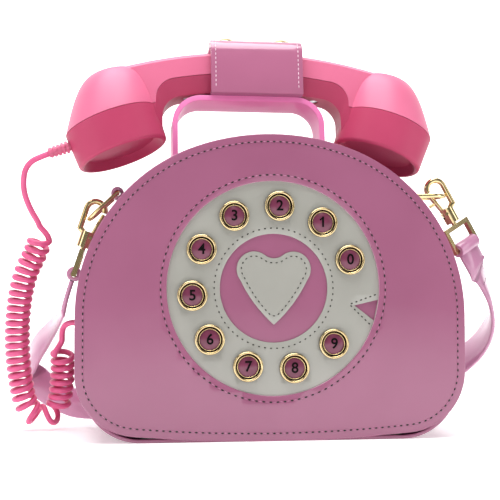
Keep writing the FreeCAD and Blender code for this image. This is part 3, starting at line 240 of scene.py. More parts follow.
patent_pink = patent("patent_polyurethane_pink", "#9e587a", "#985274")
patent_rose = patent("patent_polyurethane_rose", "#b36588", "#ac5f82")
patent_light = patent("patent_polyurethane_light_pink", "#c283a6", "#bb7b9e")
patent_white = patent("patent_polyurethane_white", "#a6a59d", "#a09f97")
# Painted light: the handle's pink is drawn much lighter than the panels' pink.
patent_handle_lit = patent("soft_polyurethane_light_pink", "#f187be", "#ea80b7", 0.2)
edge_paint = grained("edge_paint_light_pink", "#dfa3c0", "#d394b3", 3, 0.8, 0.05, Roughness=0.5)

# %% [markdown]
# The handset, its caps and boot are moulded in satin ABS, with a faint texture from the mould; the lower
# shell and the caps, which face downward, are drawn in a darker copy of the pink as painted shade.
# The coiled cord is PVC, a little glossier. Stitches are bonded polyester thread with a twist.

# %% Plastic, thread and cord finishes
satin = {"cloud": 40, "grain": 0.7, "depth": 0.012, "Roughness": 0.42, "IOR": 1.46}
satin_pink = grained("moulded_satin_abs_pink", "#df7295", "#da6c8f", **satin)
# A darker copy of the same pink ABS: painted shade for the downward faces of the lower shell and caps.
satin_pink_shaded = grained("moulded_satin_abs_deep_pink", "#bb4769", "#b64264", **satin, Specular_IOR_Level=0.2)
cord_pink = grained("soft_pvc_cord_pink", "#e25f91", "#dc588a", 20, 0.9, 0.02, Roughness=0.38, IOR=1.5)
twist = {"cloud": 0.6, "grain": 0.3, "depth": 0.05, "Roughness": 0.6}
# Near black: the strap ends' dark stitches, and painted shade for the stitch holes on the panel seams.
dark_thread_and_hole_shade = grained("bonded_thread_mauve", "#1c0d14", "#14090f", **twist)
thread_pink = grained("bonded_thread_pink", "#b87898", "#aa6b8b", **twist)
thread_pale = grained("bonded_thread_pale_pink", "#f2dfe8", "#e3c6d5", **twist)
thread_grey = grained("bonded_thread_grey", "#302e29", "#23211d", **twist)
dome_pink = grained(
    "glossy_resin_pink", "#7a3350", "#6d2b46", 4, 1.5, 0.01, Roughness=0.3, IOR=1.5, Coat_Weight=0.3
)
digit_ink = grained(
    "printed_ink_black", "#0c0809", "#080506", 1, 0.3, 0.004, Roughness=0.6, Specular_IOR_Level=0.1
)
black_abs = grained("moulded_abs_black", "#1c1a1b", "#141213", 5, 0.6, 0.03, Roughness=0.5)

# %% [markdown]
# The hooks, rings, rims and snaps are zinc castings with a polished light gold plate. Casting leaves a faint
# unevenness that only the reflections show. The bezels' sunk faces are painted a dark gold, a painted
# reflection of the dark room in their hollow polished plate.

# %% Metal and cloth finishes
gold_plate = grained(
    "polished_light_gold_plate", "#e6d0a0", "#d9c28e", 6, 2.5, 0.008, Metallic=1.0, Roughness=0.14
)
# Painted reflection: a dark gold for the bezels' hollow faces, where the polished plate mirrors the dark
# room.
gold_dark_reflection = grained("aged_gold_plate", "#33281a", "#261d12", 3, 1.2, 0.02, Metallic=1.0, Roughness=0.3)
steel_zinc = grained("zinc_plated_steel", "#c4c6c8", "#aeb0b4", 4, 1.0, 0.01, Metallic=1.0, Roughness=0.3)
grey_board = grained("pressed_grey_board", "#8d8a86", "#76736f", 3, 0.8, 0.1, Roughness=0.9)


def woven(name, light, dark, thread):
    mat, skin = new_finish(name, Roughness=0.85, Sheen_Weight=0.3)
    place = mottled(mat, skin, light, dark, 8)
    weave = {"Scale": 1 / (thread * MM) / 3.2}
    across = shade(mat, "TexWave", weave, {"Vector": (place, "Object")}, bands_direction="X")
    along = shade(mat, "TexWave", weave, {"Vector": (place, "Object")}, bands_direction="Z")
    cloth = shade(mat, "Math", links={0: (across, "Fac"), 1: (along, "Fac")}, operation="MULTIPLY")
    relief = shade(mat, "Bump", {"Strength": 0.6, "Distance": 0.15 * MM}, {"Height": (cloth, "Value")})
    mat.node_tree.links.new(relief.outputs["Normal"], skin.inputs["Normal"])
    return mat


lining_cloth = woven("woven_polyester_lining", "#d9b3c6", "#cba3b8", 0.6)
zip_cloth = woven("woven_zip_tape_pink", "#c986a6", "#b87596", 0.5)
zip_nylon = grained("nylon_zip_coil_pink", "#d596b4", "#c784a3", 2, 0.4, 0.02, Roughness=0.35)


def dress(obj, mat):
    obj.data.materials.clear()
    obj.data.materials.append(mat)


# %% [markdown]
# The front and back are stiff patent panels. Each is cut from its solid's outline, ruled into a grid and
# rippled slightly, and its raw edge is painted, which shows as a light line all round.

# %% Panels
PANEL_EDGE = 0.45
PANEL_STEP = 9
RIPPLE_DEPTH = 0.35
RIPPLE_SIZE = 70


def stitched_panel(name, node, body, seed):
    obj = cut_pattern(name, node)
    round_edges(obj, PANEL_EDGE)
    rule_grid(obj, PANEL_STEP)
    ripple(obj, (0, 1, 0), RIPPLE_DEPTH, RIPPLE_SIZE, seed)
    dress(obj, patent_pink)
    obj.data.materials.append(edge_paint)
    for face in obj.data.polygons:
        if abs(face.normal.y) < 0.5:
            face.material_index = 1
    soften(obj)
    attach(obj, body)
    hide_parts(node)
    return obj


front_panel = stitched_panel("front_cover", "front_panel", "bag", 1)
stitched_panel("back_cover_lower", "back_panel_lower", "bag", 2)
stitched_panel("back_cover_upper", "back_panel_upper", "back_flap", 2)
print("front cover faces:", len(front_panel.data.polygons))

# %% [markdown]
# Round the sides and base runs the gusset, and over the top two narrow strips that hold the zip.
# They are the same sheet bent to a curve, which holds them straight across, so they aren't rippled.


# %% Gusset and zip strips
def soft_sheet(name, node, body, mat, edge=0.3, grid="Y", step=8):
    obj = cut_pattern(name, node)
    round_edges(obj, edge, 2)
    rule_grid(obj, step, grid)
    dress(obj, mat)
    soften(obj)
    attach(obj, body)
    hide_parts(node)
    return obj


gusset = soft_sheet("gusset_band", "side_gusset", "bag", patent_pink)
soft_sheet("zip_strip_front_sheet", "zip_strip_front", "bag", patent_pink)
soft_sheet("zip_strip_rear_sheet", "zip_strip_rear", "back_flap", patent_pink)
print("gusset faces:", len(gusset.data.polygons))

# %% [markdown]
# The dial is applique: a white ring lies under the round window of the front panel, a pink ground shows
# through its middle, and a white heart is sewn on that. The heart is padded, so its face is crowned.

# %% Dial and heart
dial_ring = soft_sheet("dial_ring_sheet", "dial_ring", "bag", patent_white, 0.25, "XZ", 6)
soft_sheet("dial_ground_sheet", "dial_ground", "bag", patent_pink, 0.2, "XZ", 9)
heart = soft_sheet("heart_pad", "heart_patch", "bag", patent_white, 0.3, "XZ", 2.5)
HEART_CROWN = 0.9
CROWN_WIDTH = 7.0
front_y = min(vert.co.y for vert in heart.data.vertices)
rim = [vert.co.copy() for vert in heart.data.vertices if vert.co.y > front_y + 0.05 * MM]
for vert in heart.data.vertices:
    if vert.co.y < front_y + 0.05 * MM:
        away = min((Vector((p.x, 0, p.z)) - Vector((vert.co.x, 0, vert.co.z))).length for p in rim)
        swell = min(away / (CROWN_WIDTH * MM), 1.0)
        vert.co.y -= HEART_CROWN * MM * math.sin(swell * math.pi / 2)
print("heart faces:", len(heart.data.polygons))

# %% [markdown]
# Stitching shows everywhere on such a bag. One stitch is modelled from a small ball, drawn out to a grain
# of rice, and copied along each seam with the thread's real pitch, lying on the sheet it holds.

# %% One stitch, copied along a seam
STITCH_WIDTH = 0.24
put_down()
bpy.ops.mesh.primitive_uv_sphere_add(segments=6, ring_count=5, radius=1 * MM)
rice = bpy.context.object
bpy.ops.object.mode_set(mode="EDIT")
bpy.ops.mesh.select_all(action="SELECT")
bpy.ops.transform.resize(value=(1.0, STITCH_WIDTH, STITCH_WIDTH))
bpy.ops.object.mode_set(mode="OBJECT")
stitch_mesh = rice.data.copy()
bpy.data.objects.remove(rice)


def evenly(points, pitch, closed, start):
    """Points and headings at an even pitch along a line, the first at this share of the pitch."""
    ring = points + points[:1] if closed else points
    total = sum((b - a).length for a, b in zip(ring, ring[1:]))
    count = max(int(total / pitch), 1)
    gap = total / count
    marks = []
    want = gap * start
    run = 0.0
    for a, b in zip(ring, ring[1:]):
        length = (b - a).length
        while length and want <= run + length:
            marks.append((a.lerp(b, (want - run) / length), (b - a).normalized()))
            want += gap
        run += length
    return marks


def sew(
    name, sheet, points, body, mat, closed=True, pitch=4.0, length=1.8, thick=0.8,
    start=0.5, across=False,
):
    thread = bmesh.new()
    count = 0
    for spot, heading in evenly([p * MM for p in points], pitch * MM, closed, start):
        _, at, out, _ = sheet.closest_point_on_mesh(spot)
        along = (heading - out * heading.dot(out)).normalized()
        if across:
            along = out.cross(along)
        turn = Matrix((along, out.cross(along), out)).transposed().to_4x4()
        wide = thick / (2 * STITCH_WIDTH)
        size = Matrix.Diagonal((length / 2, wide, wide, 1))
        one = stitch_mesh.copy()
        one.transform(Matrix.Translation(at) @ turn @ size)
        thread.from_mesh(one)
        bpy.data.meshes.remove(one)
        count += 1
    mesh = bpy.data.meshes.new(name)
    thread.to_mesh(mesh)
    thread.free()
    obj = new_piece(name, mesh)
    dress(obj, mat)
    soften(obj, 80)
    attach(obj, body)
    print(name, count, "stitches")
    return obj


# %% [markdown]
# The seams follow the panels' outlines, a few millimetres in from the edge. The D outline is four arcs on
# each side, the same as the solid's: top, shoulder, corner and a nearly straight base.


# %% Seam lines of the panels and dial
def arc(cx, cz, radius, start, stop, count):
    angles = [start + (stop - start) * k / count for k in range(count + 1)]
    return [(cx + radius * math.sin(a), cz + radius * math.cos(a)) for a in angles]


def d_outline(inset):
    half, height, top, corner, base = 110.0, 171.5, 130.0, 34.7, 830.0
    joint = math.radians(19.471)
    side = (half - top * math.sin(joint)) / (1 - math.sin(joint))
    c2x = (top - side) * math.sin(joint)
    c2z = height - top + (top - side) * math.cos(joint)
    c4x = half - corner
    c4z = base - math.sqrt((base - corner) ** 2 - c4x**2)
    low = math.pi - math.asin(c4x / (base - corner))
    right = arc(0, height - top, top - inset, 0, joint, 12)
    right += arc(c2x, c2z, side - inset, joint, math.pi / 2, 24)
    right += arc(c4x, c4z, corner - inset, math.pi / 2, low, 16)
    right += arc(0, base, base - inset, low, math.pi, 12)
    return right + [(-x, z) for x, z in reversed(right[1:-1])]


def on_face(line, y):
    return [Vector((x, y, z)) for x, z in line]


PANEL_FACE_Y = -41.0
RING_FACE_Y = -38.7
HEART_FACE_Y = -39.5
SEAM_INSET = 4.4
WINDOW_SEAM_OUT = 3.4
HOLE_SEAM_OUT = 3.2
HEART_SEAM_IN = 2.6
DIAL_Z = 85.0
WINDOW_R = 60.0
HOLE_R = 30.4
full_turn = 2 * math.pi
edge_line = on_face(d_outline(SEAM_INSET), PANEL_FACE_Y)
sew("front_edge_seam", front_panel, edge_line, "bag", thread_pink, True, 3.6, 2.2, 0.7)
# The dark grains between the pink stitches are painted shade in the stitch holes.
sew("front_edge_holes", front_panel, edge_line, "bag", dark_thread_and_hole_shade, True, 3.6, 1.6, 1.0, 1.0)
window_seam = arc(0, DIAL_Z, WINDOW_R + WINDOW_SEAM_OUT, 0, full_turn, 120)[:-1]
window_line = on_face(window_seam, PANEL_FACE_Y)
sew("window_seam", front_panel, window_line, "bag", thread_pink, True, 4.0, 2.4, 0.7)
# Painted shade in the window seam's stitch holes.
sew("window_holes", front_panel, window_line, "bag", dark_thread_and_hole_shade, True, 4.0, 1.8, 1.0, 1.0)
hole_seam = arc(0, DIAL_Z, HOLE_R + HOLE_SEAM_OUT, 0, full_turn, 90)[:-1]


def bow(a, b, rise, count):
    """Points of an arc from one point to another that stands out by the rise."""
    chord = Vector((b[0] - a[0], b[1] - a[1]))
    out = Vector((chord.y, -chord.x)).normalized()
    marks = []
    for k in range(count + 1):
        f = k / count
        at = Vector(a) + chord * f + out * rise * 4 * f * (1 - f)
        marks.append((at.x, at.y))
    return marks


def heart_line():
    """The heart's outline: a shallow cleft, two round lobes and bowed sides."""
    width, height, lobe, cleft, bulge = 42.0, 41.0, 9.9, 3.8, 1.6
    top = DIAL_Z + height / 2
    lobe_x = width / 2 - lobe
    lobe_z = top - lobe
    sink = lobe - cleft
    dip = (lobe_x**2 + sink**2 - lobe**2) / (2 * cleft)
    dip_z = top - cleft + dip
    meet = math.atan2(lobe_x, lobe_z - dip_z)
    tip = (0.0, DIAL_Z - height / 2)
    reach = math.hypot(lobe_x, lobe_z - tip[1])
    lean = math.atan2(lobe_x, lobe_z - tip[1]) + math.asin(lobe / reach)
    right = arc(0, dip_z, dip, math.pi, meet, 6)
    right += arc(lobe_x, lobe_z, lobe, meet - math.pi, math.pi / 2 + lean, 24)[1:]
    right += bow(right[-1], tip, -bulge, 14)[1:]
    return right + [(-x, z) for x, z in reversed(right[1:-1])]


def inset_line(line, inset):
    """The same closed line drawn further in."""
    drawn = []
    for i, (x, z) in enumerate(line):
        before = line[i - 1]
        after = line[(i + 1) % len(line)]
        along = Vector((after[0] - before[0], after[1] - before[1])).normalized()
        at = Vector((x + along.y * inset, z - along.x * inset))
        if min((at - Vector(p)).length for p in line) > inset * 0.97:
            drawn.append((at.x, at.y))
    return drawn


heart_seam = on_face(inset_line(heart_line(), HEART_SEAM_IN), HEART_FACE_Y)
sew("heart_seam", heart, heart_seam, "bag", thread_grey, pitch=3.0, length=1.5, thick=0.7)
NOTCH_TURN = math.radians(-12)
NOTCH_TIP = 44.0
NOTCH_HALF = 9.0
notch_seam = []
for radius, side in ((WINDOW_R - 1.5, -NOTCH_HALF), (NOTCH_TIP, 0), (WINDOW_R - 1.5, NOTCH_HALF)):
    x = radius * math.cos(NOTCH_TURN) - side * math.sin(NOTCH_TURN)
    notch_seam.append((x, DIAL_Z + radius * math.sin(NOTCH_TURN) + side * math.cos(NOTCH_TURN)))
notch_line = on_face(notch_seam, RING_FACE_Y)
sew("notch_seam", dial_ring, notch_line, "bag", thread_grey, False, pitch=2.8, length=1.5)
hole_line = on_face(hole_seam, RING_FACE_Y)
sew("dial_hole_seam", dial_ring, hole_line, "bag", thread_grey, pitch=3.4, length=1.3)

# %% [markdown]
# Each dial button is a gold bezel, its sunk face painted dark as a painted reflection, with two bright rims
# round a pink resin dome, and a black number is printed on the dome. The rims are rings laid on the bezel's
# face.
# The numbers are text made into a mesh, laid on the dome's top. The typeface's 1 is a plain bar, so it
# gets a short slanted stroke.

# %% Buttons and numbers
BUTTON_CIRCLE = 46.0
DOME_TOP_Y = -41.4
FIRST_BUTTON = 20.3
BUTTON_STEP = 33
RIMS = ((7.7, 0.75, -40.7), (6.0, 0.28, -40.3))
DIGIT_SIZE = 8.2
DIGIT_Y = DOME_TOP_Y - 0.02
STROKE_AT = (-0.95, 1.95)
STROKE_SIZE = (2.2, 0.12, 0.8)
STROKE_LEAN = math.radians(-38)
# The bezels take the dark gold, a painted reflection.
dress(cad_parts["button_bezels"], gold_dark_reflection)
dress(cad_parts["number_domes"], dome_pink)
digits = []
rims = []
for digit in range(10):
    angle = math.radians(FIRST_BUTTON + BUTTON_STEP * digit)
    x = BUTTON_CIRCLE * math.cos(angle) * MM
    z = (DIAL_Z + BUTTON_CIRCLE * math.sin(angle)) * MM
    for across, wire, y in RIMS:
        put_down()
        bpy.ops.mesh.primitive_torus_add(
            location=(x, y * MM, z), rotation=(math.pi / 2, 0, 0), major_segments=32, minor_segments=10,
            major_radius=across * MM, minor_radius=wire * MM,
        )
        rims.append(as_mesh(bpy.context.object))
    put_down()
    bpy.ops.object.text_add(location=(x, DIGIT_Y * MM, z), rotation=(math.pi / 2, 0, 0))
    text = bpy.context.object
    text.data.body = str(digit)
    text.data.size = DIGIT_SIZE * MM
    text.data.align_x = "CENTER"
    text.data.align_y = "CENTER"
    text.data.extrude = 0.06 * MM
    text.data.offset = 0.16 * MM
    digits.append(as_mesh(text))
    if digit == 1:
        put_down()
        bpy.ops.mesh.primitive_cube_add(
            size=1 * MM, location=(x + STROKE_AT[0] * MM, DIGIT_Y * MM, z + STROKE_AT[1] * MM),
            rotation=(0, STROKE_LEAN, 0), scale=STROKE_SIZE,
        )
        digits.append(as_mesh(bpy.context.object))


def as_one(name, pieces, mat):
    put_down()
    for one in pieces:
        one.select_set(True)
    bpy.context.view_layer.objects.active = pieces[0]
    bpy.ops.object.join()
    whole = bpy.context.view_layer.objects.active
    whole.name = name
    dress(whole, mat)
    soften(whole, 60)
    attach(whole, "bag")


print("numbers:", len(digits), "rims:", len(rims))
as_one("printed_numbers", digits, digit_ink)
as_one("bezel_rims", rims, gold_plate)

# %% [markdown]
# Inside the bag are a cloth lining and a stiff base board, and at the top the zip: two woven tapes, each
# with a nylon coil along its edge. The teeth are the same grain as the stitches, turned across the coil.
# They are spaced along an arc a little flatter than the coil and drop onto it.

# %% Lining, base board and zip
soft_sheet("lining_cloth", "lining", "bag", lining_cloth, 0.15, "XZ", 12)
soft_sheet("zip_tape_front_cloth", "zip_tape_front", "bag", zip_cloth, 0.2)
soft_sheet("zip_tape_rear_cloth", "zip_tape_rear", "back_flap", zip_cloth, 0.2)
dress(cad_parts["base_board"], grey_board)
for node in ("zip_coil_front", "zip_coil_rear", "zip_stops"):
    dress(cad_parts[node], zip_nylon)
TEETH_ARC_Z = 41.5
TEETH_END_GAP = 0.01
for node, body in (("zip_coil_front", "bag"), ("zip_coil_rear", "back_flap")):
    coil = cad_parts[node]
    corners = [coil.matrix_world @ Vector(corner) / MM for corner in coil.bound_box]
    radius = max(c.z for c in corners) - TEETH_ARC_Z
    reach = math.asin(max(c.x for c in corners) / radius) - TEETH_END_GAP
    y = sum(c.y for c in corners) / 8
    line = [Vector((x, y, z)) for x, z in arc(0, TEETH_ARC_Z, radius, -reach, reach, 90)]
    sew("teeth_" + node, coil, line, body, zip_nylon, False, 1.6, 1.6, 0.9, across=True)

# %% [markdown]
# The carrying handle is a folded patent strap with a stiffener, riveted to the top of the bag. The wrap
# that holds the handset is sewn round it, and closes over the grip with two gold snaps.

# %% Handle and wrap
# The handle takes the lighter pink, which is painted light.
soft_sheet("handle_strap", "top_handle", "bag", patent_handle_lit, 0.7, "Y", 6)
soft_sheet("wrap_floor_sheet", "wrap_floor", "bag", patent_pink, 0.4, "X", 8)
wrap_front = soft_sheet(
    "wrap_front_sheet", "wrap_front", "wrap_front", patent_rose, 0.5, "X", 6
)
soft_sheet("wrap_rear_sheet", "wrap_rear", "wrap_rear", patent_rose, 0.5, "X", 6)
LEAN = math.radians(8)
LEAN_Y = -8.0
LEAN_Z = 160.0


def leaned(x, y, z):
    """A point of the upright handle, moved to where the leaning handle has it."""
    dy = y - LEAN_Y
    dz = z - LEAN_Z
    turned_y = LEAN_Y + dy * math.cos(LEAN) + dz * math.sin(LEAN)
    return Vector((x, turned_y, LEAN_Z - dy * math.sin(LEAN) + dz * math.cos(LEAN)))


WRAP_X = -6.5
WRAP_SEAM = 24.2
for way, name in ((-1, "left"), (1, "right")):
    x = WRAP_X + way * WRAP_SEAM
    up = [leaned(x, LEAN_Y - 18, z) for z in (199, 210, 221)]
    up += [leaned(x, LEAN_Y - 16, 227), leaned(x, LEAN_Y - 11, 231)]
    sew("wrap_seam_" + name, wrap_front, up, "wrap_front", thread_pale, False, 2.5, 1.9, 0.6)
gold_nodes = (
    "handle_rivets snap_caps snap_sockets snap_studs cord_eyelet zip_slider zip_pull "
    "strap_ring_left strap_ring_right hook_body_left hook_body_right hook_gate_left hook_gate_right "
    "gate_pin_left gate_pin_right swivel_eye_left swivel_eye_right"
)
for node in gold_nodes.split():
    dress(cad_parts[node], gold_plate)
for node in "handset_upper_shell cord_boot jack_plug".split():
    dress(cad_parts[node], satin_pink)
# The lower shell and caps take the darker copy, as painted shade.
for node in "handset_lower_shell mouth_cap ear_cap".split():
    dress(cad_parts[node], satin_pink_shaded)
for node in ("speaker", "microphone"):
    dress(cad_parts[node], black_abs)
dress(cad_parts["handset_screws"], steel_zinc)
soft_sheet("strap_tab_left_fold", "strap_tab_left", "bag", patent_light, 0.5)
soft_sheet("strap_tab_right_fold", "strap_tab_right", "bag", patent_light, 0.5)
soft_sheet("strap_end_left_fold", "strap_end_left", "bag", patent_light, 0.4)
soft_sheet("strap_end_right_fold", "strap_end_right", "bag", patent_light, 0.4)

# %% [markdown]
# The curly cord runs from the handset's boot down the bag's left side, loops back up and goes in through an
# eyelet to a plug inside. Its route is one smooth spline; the curl is wound round points read from it.


# %% Reading points from a spline
def read_spline(points, resolution):
    """Points in metres along a smooth spline with these control points in millimetres."""
    line = bpy.data.curves.new("route", "CURVE")
    line.dimensions = "3D"
    spline = line.splines.new("NURBS")
    spline.points.add(len(points) - 1)
    for point, at in zip(spline.points, points):
        point.co = (at[0] * MM, at[1] * MM, at[2] * MM, 1)
    spline.order_u = 3
    spline.use_endpoint_u = True
    spline.resolution_u = resolution
    carrier = new_piece("route", line)
    mesh = bpy.data.meshes.new_from_object(carrier.evaluated_get(bpy.context.evaluated_depsgraph_get()))
    marks = [vert.co.copy() for vert in mesh.vertices]
    bpy.data.meshes.remove(mesh)
    bpy.data.objects.remove(carrier)
    return marks


def pull_tube(name, points, radius, sides=3):
    line = bpy.data.curves.new(name, "CURVE")
    line.dimensions = "3D"
    line.bevel_depth = radius
    line.bevel_resolution = sides
    line.use_fill_caps = True
    spline = line.splines.new("POLY")
    spline.points.add(len(points) - 1)
    for point, at in zip(spline.points, points):
        point.co = (*at, 1)
    return as_mesh(new_piece(name, line))


# %% Curly cord
CORD_R = 1.7
CURL_R = 5.7
CURL_TURNS = 32
CORD_ROUTE = [
    (-114.8, -7.1, 166.4), (-127, -7.7, 162), (-139, -6.5, 156.5), (-141, -4, 143), (-137, -2, 131),
    (-130, 0.5, 120), (-132, 4, 109), (-141, 9, 92), (-145, 15, 66), (-144.5, 20, 38), (-139, 26, 8.6),
    (-121.5, 30, 8.6), (-118.5, 26, 31), (-118.5, 22, 47), (-119, 14, 61), (-115, 5, 65), (-108, 4, 65),
    (-100, 4, 65), (-80.05, 4, 65), (-80.05, 4, 41),
]
axis = read_spline(CORD_ROUTE, 40)
steps = [0.0]
for a, b in zip(axis, axis[1:]):
    steps.append(steps[-1] + (b - a).length)
curl_from = min(range(len(axis)), key=lambda i: (axis[i] - Vector((-131, 3, 113)) * MM).length)
curl_to = min(range(len(axis)), key=lambda i: (axis[i] - Vector((-118.5, 22, 47)) * MM).length)
headings = []
for i in range(len(axis)):
    headings.append((axis[min(i + 1, len(axis) - 1)] - axis[max(i - 1, 0)]).normalized())
side = Vector((1, 0, 0))
turns = [0.0]
for i in range(1, len(axis)):
    step = steps[i] - steps[i - 1]
    bend = headings[max(i - 8, 0)].angle(headings[min(i + 8, len(axis) - 1)])
    bend /= steps[min(i + 8, len(axis) - 1)] - steps[max(i - 8, 0)]
    open_up = max(1 - 1.02 * CURL_R * MM * bend, 0.15)
    turns.append(turns[-1] + (step * open_up if curl_from <= i <= curl_to else 0.0))
EASE = 9.0
sparse = []
for i, at in enumerate(axis):
    side = (side - headings[i] * headings[i].dot(side)).normalized()
    up = headings[i].cross(side)
    grow = min(steps[i] - steps[curl_from], steps[curl_to] - steps[i]) / (EASE * MM) + 1
    grow = min(max(grow, 0.0), 1.0)
    grow = grow * grow * (3 - 2 * grow)
    sparse.append((at, side.copy(), up, turns[i] / turns[-1] * CURL_TURNS, grow))
winding = []
for (p, s, u, t, g), (p2, s2, u2, t2, g2) in zip(sparse, sparse[1:]):
    count = max(int((t2 - t) * 26), 1)
    for k in range(count):
        f = k / count
        angle = 2 * math.pi * (t + (t2 - t) * f)
        arm = (s.lerp(s2, f) * math.cos(angle) + u.lerp(u2, f) * math.sin(angle)) * CURL_R * MM
        winding.append(p.lerp(p2, f) + arm * (g + (g2 - g) * f))
winding.append(axis[-1])
curly = pull_tube("curly_cord_wound", winding, CORD_R * MM, 3)
dress(curly, cord_pink)
soften(curly, 60)
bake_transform(curly)
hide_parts("curly_cord", "cord_inner_tail")

# %% [markdown]
# The shoulder strap is a doubled patent band. It hangs from both swivel eyes, then its spare length is folded
# back and forth on edge behind the bag and held by a tie. Two splines carry it: the middle and one edge.

# %% Shoulder strap
STRAP_W = 18.0
STRAP_T = 2.4
RUN_HALF = 90.0
RUN_Y = 58.0
RUN_PITCH = 6.0
RUNS = 5
RUN_Z = STRAP_W / 2 + 1.0
LAST_Y = RUN_Y + (RUNS - 1) * RUN_PITCH
eye_left = Vector((-111.138, -4, 93.059))
way_left = Vector((-0.309017, 0, -0.951057))
eye_right = Vector((122.9286, -4, 110.996))
way_right = Vector((0.48481, 0, -0.87462))
turn_right = Matrix.Rotation(math.radians(60), 3, way_right) @ Vector((0, 1, 0))
LOOP = 3.9
hang = [
    (eye_left + way_left * LOOP, (0, 1, 0)), (eye_left + way_left * 14, (0, 1, 0)),
    (Vector((-117, 14, 74)), (0, 1, 0.3)), (Vector((-124, 38, 62)), (0.1, 0.6, 0.8)),
    (Vector((-137, 54, 46)), (0, 0.2, 1)), (Vector((-141, 66, 30)), (0, 0, 1)),
    (Vector((-122, 64, 16)), (0, 0, 1)), (Vector((-104, RUN_Y, RUN_Z)), (0, 0, 1)),
]
way = 1
for k in range(RUNS):
    y = RUN_Y + k * RUN_PITCH
    if k:
        hang.append((Vector((-way * (RUN_HALF + 3.2), y, RUN_Z)), (0, 0, 1)))
        hang.append((Vector((-way * (RUN_HALF - 4), y, RUN_Z)), (0, 0, 1)))
    if k < RUNS - 1:
        hang.append((Vector((way * (RUN_HALF - 4), y, RUN_Z)), (0, 0, 1)))
        hang.append((Vector((way * (RUN_HALF + 3.2), y, RUN_Z)), (0, 0, 1)))
    way = -way
hang += [
    (Vector((104, LAST_Y, RUN_Z + 3)), (0, 0, 1)), (Vector((124, 74, 24)), (0, 0, 1)),
    (Vector((138, 56, 36)), (0, 0.3, 1)), (Vector((148, 34, 52)), (0, 0.6, 0.8)),
    (Vector((148, 16, 72)), (0.2, 0.9, 0.4)), (Vector((134, 4, 96)), (0.5, 0.8, 0.3)),
    (eye_right + way_right * 14, turn_right), (eye_right + way_right * LOOP, turn_right),
]
middle = read_spline([at for at, _ in hang], 10)
edge = read_spline([at + Vector(across) * 5 for at, across in hang], 10)
verts = []
faces = []
CORNER = 0.7
half_w = STRAP_W / 2
half_t = STRAP_T / 2
flat_w = half_w - CORNER
flat_t = half_t - CORNER
profile = [
    (flat_w, half_t), (half_w, flat_t), (half_w, -flat_t), (flat_w, -half_t),
    (-flat_w, -half_t), (-half_w, -flat_t), (-half_w, flat_t), (-flat_w, half_t),
]
for i, at in enumerate(middle):
    along = (middle[min(i + 1, len(middle) - 1)] - middle[max(i - 1, 0)]).normalized()
    across = edge[i] - at
    across = (across - along * along.dot(across)).normalized()
    out = along.cross(across)
    verts += [at + across * a * MM + out * b * MM for a, b in profile]
ring = len(profile)
for i in range(len(middle) - 1):
    for k in range(ring):
        a = i * ring + k
        b = i * ring + (k + 1) % ring
        faces.append((a, b, b + ring, a + ring))
faces.append(tuple(reversed(range(ring))))
faces.append(tuple(range((len(middle) - 1) * ring, len(middle) * ring)))
mesh = bpy.data.meshes.new("shoulder_strap_band")
mesh.from_pydata(verts, [], faces)
strap = new_piece("shoulder_strap_band", mesh)
pick_up(strap)
bpy.ops.object.mode_set(mode="EDIT")
bpy.ops.mesh.select_all(action="SELECT")
bpy.ops.mesh.normals_make_consistent(inside=False)
bpy.ops.object.mode_set(mode="OBJECT")
dress(strap, patent_light)
soften(strap, 50)
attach(strap, "bag")
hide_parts("shoulder_strap")
SEWN_BACK = 24.0
from_end = 0.0
spot = len(middle) - 1
while from_end < SEWN_BACK * MM:
    from_end += (middle[spot] - middle[spot - 1]).length
    spot -= 1
reach_out = (edge[spot] - middle[spot]).normalized() * (half_w - 2) * MM
facing = reach_out.cross(middle[spot] - middle[spot - 1]).normalized() * half_t * MM
for way, name in ((-1, "inner"), (1, "outer")):
    ends = [(middle[spot] + facing * way + reach_out * k) / MM for k in (-1, 1)]
    sew("strap_end_seam_" + name, strap, ends, "bag", dark_thread_and_hole_shade, False, 2.4, 1.5, 0.5)
tie = soft_sheet("strap_tie_band", "strap_tie", "bag", patent_light, 0.3, "Y", 4)

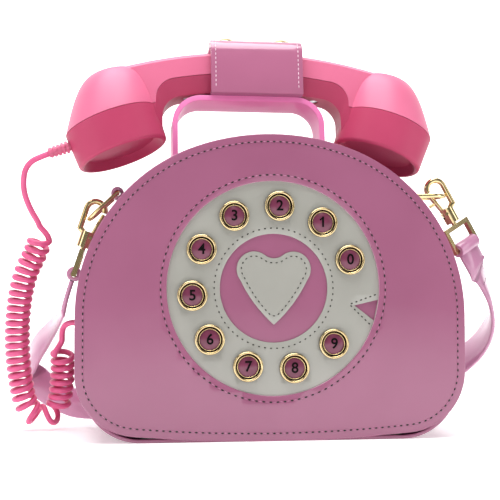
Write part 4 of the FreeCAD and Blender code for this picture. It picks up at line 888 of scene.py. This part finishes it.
# %% [markdown]
# The photograph is lit from above on pure white. The floor and the backdrop glow a little, so that they
# stay white while the object's front is in softer light. A large light hangs above, and a tall narrow one
# on each side draws the long highlights on the patent and the handset.

# %% Floor and lights
def glowing_paper(name, glow):
    mat, skin = new_finish(name, Roughness=0.9)
    mottled(mat, skin, "#f6f6f6", "#f3f3f3", 40)
    skin.inputs["Emission Color"].default_value = (1, 1, 1, 1)
    skin.inputs["Emission Strength"].default_value = glow
    return mat


def studio_sheet(name, size, at, turn, glow):
    put_down()
    bpy.ops.mesh.primitive_plane_add(size=size, location=at, rotation=turn)
    sheet = as_mesh(bpy.context.object)
    sheet.name = name
    dress(sheet, glowing_paper(name + "_paper", glow))


studio_sheet("studio_floor", 8.0, (0, 0, 0), (0, 0, 0), 0.35)
studio_sheet("studio_backdrop", 8.0, (0, 2.0, 0), (math.pi / 2, 0, 0), 1.0)
world = bpy.data.worlds.new("white_studio")
bpy.context.scene.world = world
world.use_nodes = True
world.node_tree.nodes["Background"].inputs["Color"].default_value = (1, 1, 1, 1)
world.node_tree.nodes["Background"].inputs["Strength"].default_value = 0.22


def soft_light(name, at, aim, size, power):
    lamp = bpy.data.lights.new(name, "AREA")
    lamp.shape = "RECTANGLE"
    lamp.size, lamp.size_y = size
    lamp.energy = power
    holder = new_piece(name, lamp)
    holder.location = at
    holder.rotation_euler = (Vector(aim) - Vector(at)).to_track_quat("-Z", "Y").to_euler()
    return holder


soft_light("top_light", (-0.1, -0.15, 1.1), (0, 0, 0.1), (1.0, 0.9), 17)
soft_light("left_light", (-0.9, -0.4, 0.35), (0, 0, 0.12), (0.3, 0.9), 2)
soft_light("right_light", (0.9, -0.4, 0.35), (0, 0, 0.12), (0.3, 0.9), 2)

# %% [markdown]
# The camera stands a little left of centre and low, as the photograph's does.

# %% Camera and finish
lens = bpy.data.cameras.new("photo_view")
lens.lens = 78.98
lens.sensor_width = 36
camera = new_piece("photo_view", lens)
camera.location = (-0.0941, -0.645, 0.0822)
camera.rotation_euler = (math.radians(92.25), 0, math.radians(-7.57))
bpy.context.scene.camera = camera
bpy.context.scene.view_settings.view_transform = "Standard"
